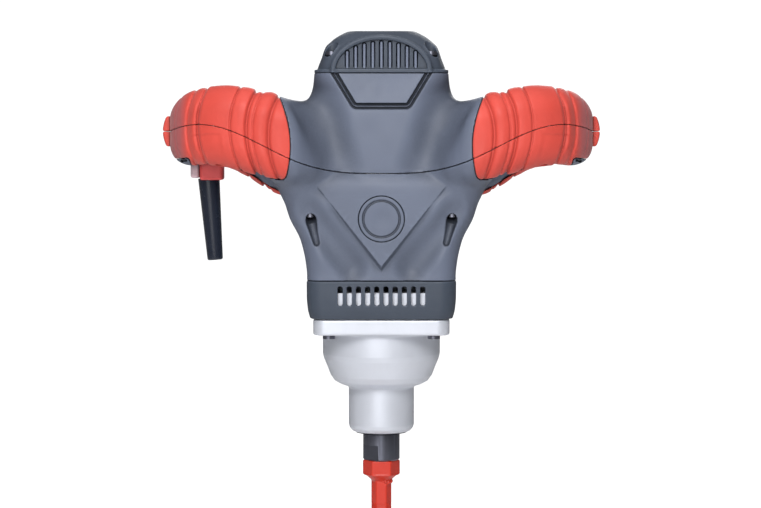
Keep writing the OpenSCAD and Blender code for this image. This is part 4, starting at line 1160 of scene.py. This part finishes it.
def build_paddle():
    top = spindle_low[2] - 0.15
    moulded("paddle_nut", nut_field, (-13.5, -13.5, top - 30), (13.5, 13.5, top), 0.45, paddle_paint, PADDLE)
    corner = ROD_FLATS / math.cos(math.radians(30))
    outline = []
    for k in range(6):
        for da in (-4, 0, 4):
            a = math.radians(60 * k + da)
            r = corner * (0.985 if da == 0 else 0.975)
            outline.append((r * math.cos(a), r * math.sin(a)))
    rod_low = basket_low[2] + 10.0
    path = [(np.array([0, 0, z]), np.array([1.0, 0, 0]), np.array([0, 1.0, 0])) for z in np.linspace(rod_low, top - 29.5, 24)]
    rod = new_piece("paddle_rod", *swept(path, outline), paddle_paint, PADDLE, ["paddle_stem"])
    stud = new_piece("paddle_stud", *lathe([(6.2, top - 0.2), (6.8, top + 0.6), (6.8, top + 17.5), (6.0, top + 18.4)], 48),
                     bright_steel, PADDLE)
    for piece in (rod, stud):
        for polygon in piece.data.polygons:
            polygon.use_smooth = len(polygon.vertices) == 4
    build_basket()


def torus(radius, r, z, steps=120, sides=20):
    outline = [(r * math.cos(2 * math.pi * k / sides), r * math.sin(2 * math.pi * k / sides)) for k in range(sides)]
    path = []
    for i in range(steps):
        a = 2 * math.pi * i / steps
        out = np.array([math.cos(a), math.sin(a), 0])
        path.append((radius * out + np.array([0, 0, z]), out, np.array([0, 0, 1.0])))
    v, f = swept(path, outline, closed=True)
    return v, [face[::-1] for face in f]


def basket_strip(radius, z0, z1, start, wind):
    """A flat strip bent round the basket from the lower hoop to the upper one."""
    half_wide, half_thick, soft = 8.0, 1.5, 0.5
    outline = [(-half_thick, -half_wide + soft), (-half_thick + soft, -half_wide), (half_thick - soft, -half_wide),
               (half_thick, -half_wide + soft), (half_thick, half_wide - soft), (half_thick - soft, half_wide),
               (-half_thick + soft, half_wide), (-half_thick, half_wide - soft)]
    path = []
    for t in np.linspace(0, 1, 40):
        a = start + wind * t
        out = np.array([math.cos(a), math.sin(a), 0])
        path.append((radius * out + np.array([0, 0, z0 + (z1 - z0) * t]), out, np.array([-math.sin(a), math.cos(a), 0])))
    return swept(path, outline)


def build_basket():
    hoop = 3.5
    radius = basket_high[0] - hoop
    z0, z1 = basket_low[2] + hoop, basket_high[2] - hoop
    if z1 - z0 > 92.6:
        z1 = z0 + 92.5
    parts = [torus(radius, hoop, z0), torus(radius, hoop, z1)]
    for k in range(3):
        parts.append(basket_strip(radius, z0, z1, math.radians(120 * k), math.radians(100)))
    for z in (z0, z1):
        for k in range(3):
            a = math.radians(120 * k)
            out = np.array([math.cos(a), math.sin(a), 0])
            side = np.array([-math.sin(a), math.cos(a), 0])
            outline = [(-2.5, -1.4), (-1.9, -2.0), (1.9, -2.0), (2.5, -1.4), (2.5, 1.4), (1.9, 2.0), (-1.9, 2.0), (-2.5, 1.4)]
            bend = [(r, 1.2 * math.sin(math.pi * (r - 10) / (radius - 10))) for r in np.linspace(9.6, radius, 12)]
            path = [(out * r + np.array([0, 0, z + h]), side, np.array([0, 0, 1.0])) for r, h in bend]
            parts.append(swept(path, outline))
    hub = [(7.3, basket_low[2] + 1.0), (10.2, basket_low[2] + 1.0), (10.5, basket_low[2] + 1.4),
           (10.5, basket_high[2] - 0.6), (10.2, basket_high[2] - 0.2), (7.3, basket_high[2] - 0.2)]
    parts.append(lathe(hub, 48))
    piece = new_piece("paddle_basket_frame", *joined(*parts), paddle_paint, PADDLE, ["paddle_basket"])
    for polygon in piece.data.polygons:
        polygon.use_smooth = True
    piece.modifiers.new("flat", "WEIGHTED_NORMAL")


# ---------------------------------------------------------------- carried-over CAD nodes
def finish_cad_nodes():
    """Gives each CAD node that still shows its slot's material, dark steel for the cap screws, and softened edges for
    those listed in soft.
    """
    slots = {row["node"]: row["material_slot"] for row in frame["record"]["subparts"]}
    soft = {"spindle": 0.35, "trigger": 0.8, "lock_button": 0.7, "speed_dial": 0.5, "housing_screws": 0.2,
            "top_cap_screws": 0.3, "gear_case_screws": 0.3, "power_cord": 0.3, "gear_plate": 0.4}
    for name, node in frame["nodes"].items():
        if node.hide_render:
            continue
        node.data.materials.clear()
        material = dark_steel if name == "top_cap_screws" else SLOT_MATERIALS[slots[name]]
        node.data.materials.append(material)
        if name in soft:
            bevelled(node, soft[name])


# ---------------------------------------------------------------- stage, light, camera
FLOOR_R = 9.0


def build_stage():
    """A plain pale floor, wide enough to reach the horizon from every side."""
    floor_z = basket_low[2] * MM
    angles = np.radians(np.arange(0, 360, 5))
    vertices = [(FLOOR_R * math.cos(a), FLOOR_R * math.sin(a), floor_z) for a in angles]
    faces = [tuple(range(len(vertices)))]
    mesh = bpy.data.meshes.new("studio_floor")
    mesh.from_pydata(vertices, [], faces)
    floor = bpy.data.objects.new("studio_floor", mesh)
    bpy.context.scene.collection.objects.link(floor)
    material, tree, shader, place = material_nodes("studio_paper")
    tone = ramp(tree, noise(tree, place, 600, 2), 0.92, 0.96)
    join = tree.nodes.new("ShaderNodeCombineColor")
    for channel in ("Red", "Green", "Blue"):
        tree.links.new(tone, join.inputs[channel])
    tree.links.new(join.outputs["Color"], shader.inputs["Base Color"])
    shader.inputs["Roughness"].default_value = 0.85
    shader.inputs["Emission Color"].default_value = (1, 1, 1, 1)
    seen = ramp(tree, tree.nodes.new("ShaderNodeLightPath").outputs["Is Camera Ray"], 0.0, 1.0, 0, 1)
    tree.links.new(seen, shader.inputs["Emission Strength"])
    mesh.materials.append(material)


def area_light(name, place, target, size, watts, colour=(1, 1, 1)):
    light = bpy.data.lights.new(name, "AREA")
    light.shape = "RECTANGLE"
    light.size, light.size_y = size
    light.energy = watts
    light.color = colour
    lamp = bpy.data.objects.new(name, light)
    lamp.location = place
    lamp.rotation_euler = (Vector(target) - Vector(place)).to_track_quat("-Z", "Y").to_euler()
    bpy.context.scene.collection.objects.link(lamp)


def build_light():
    aim = (0, 0, 0.13)
    area_light("front_softbox", (-0.1, -1.45, 0.95), aim, (0.7, 0.6), 20)
    area_light("low_fill", (-0.35, -1.8, 0.3), aim, (1.1, 0.8), 8)
    area_light("top_softbox", (0.0, -0.3, 1.5), aim, (1.2, 0.9), 6.5)
    area_light("rear_softbox", (0.3, 1.6, 0.9), aim, (1.2, 0.8), 9)
    world = bpy.data.worlds.new("studio")
    world.use_nodes = True
    tree = world.node_tree
    sky = tree.nodes["Background"]
    sky.inputs["Color"].default_value = (0.99, 0.995, 1.0, 1)
    seen = tree.nodes.new("ShaderNodeLightPath").outputs["Is Camera Ray"]
    tree.links.new(ramp(tree, seen, 0.17, 1.1, 0, 1), sky.inputs["Strength"])
    bpy.context.scene.world = world
    bpy.context.scene.view_settings.view_transform = "Standard"


CAMERA_AWAY = 1.516
CAMERA_HEIGHT = 0.179
CAMERA_LENS = 105.2
CAMERA_DROP = math.radians(2.817)


def build_camera():
    camera = bpy.data.cameras.new("camera")
    camera.sensor_width = 36
    camera.lens = CAMERA_LENS
    camera.clip_start = 0.05
    holder = bpy.data.objects.new("camera", camera)
    holder.location = (-0.0006, -CAMERA_AWAY, CAMERA_HEIGHT)
    holder.rotation_euler = (math.pi / 2 - CAMERA_DROP, 0, 0)
    bpy.context.scene.collection.objects.link(holder)
    bpy.context.scene.camera = holder


build_housing()
build_service_covers()
build_grips()
build_bumpers()
build_cap()
build_collar()
build_gear_case()
build_badge()
build_cord()
build_paddle()
finish_cad_nodes()
build_stage()
build_light()
build_camera()
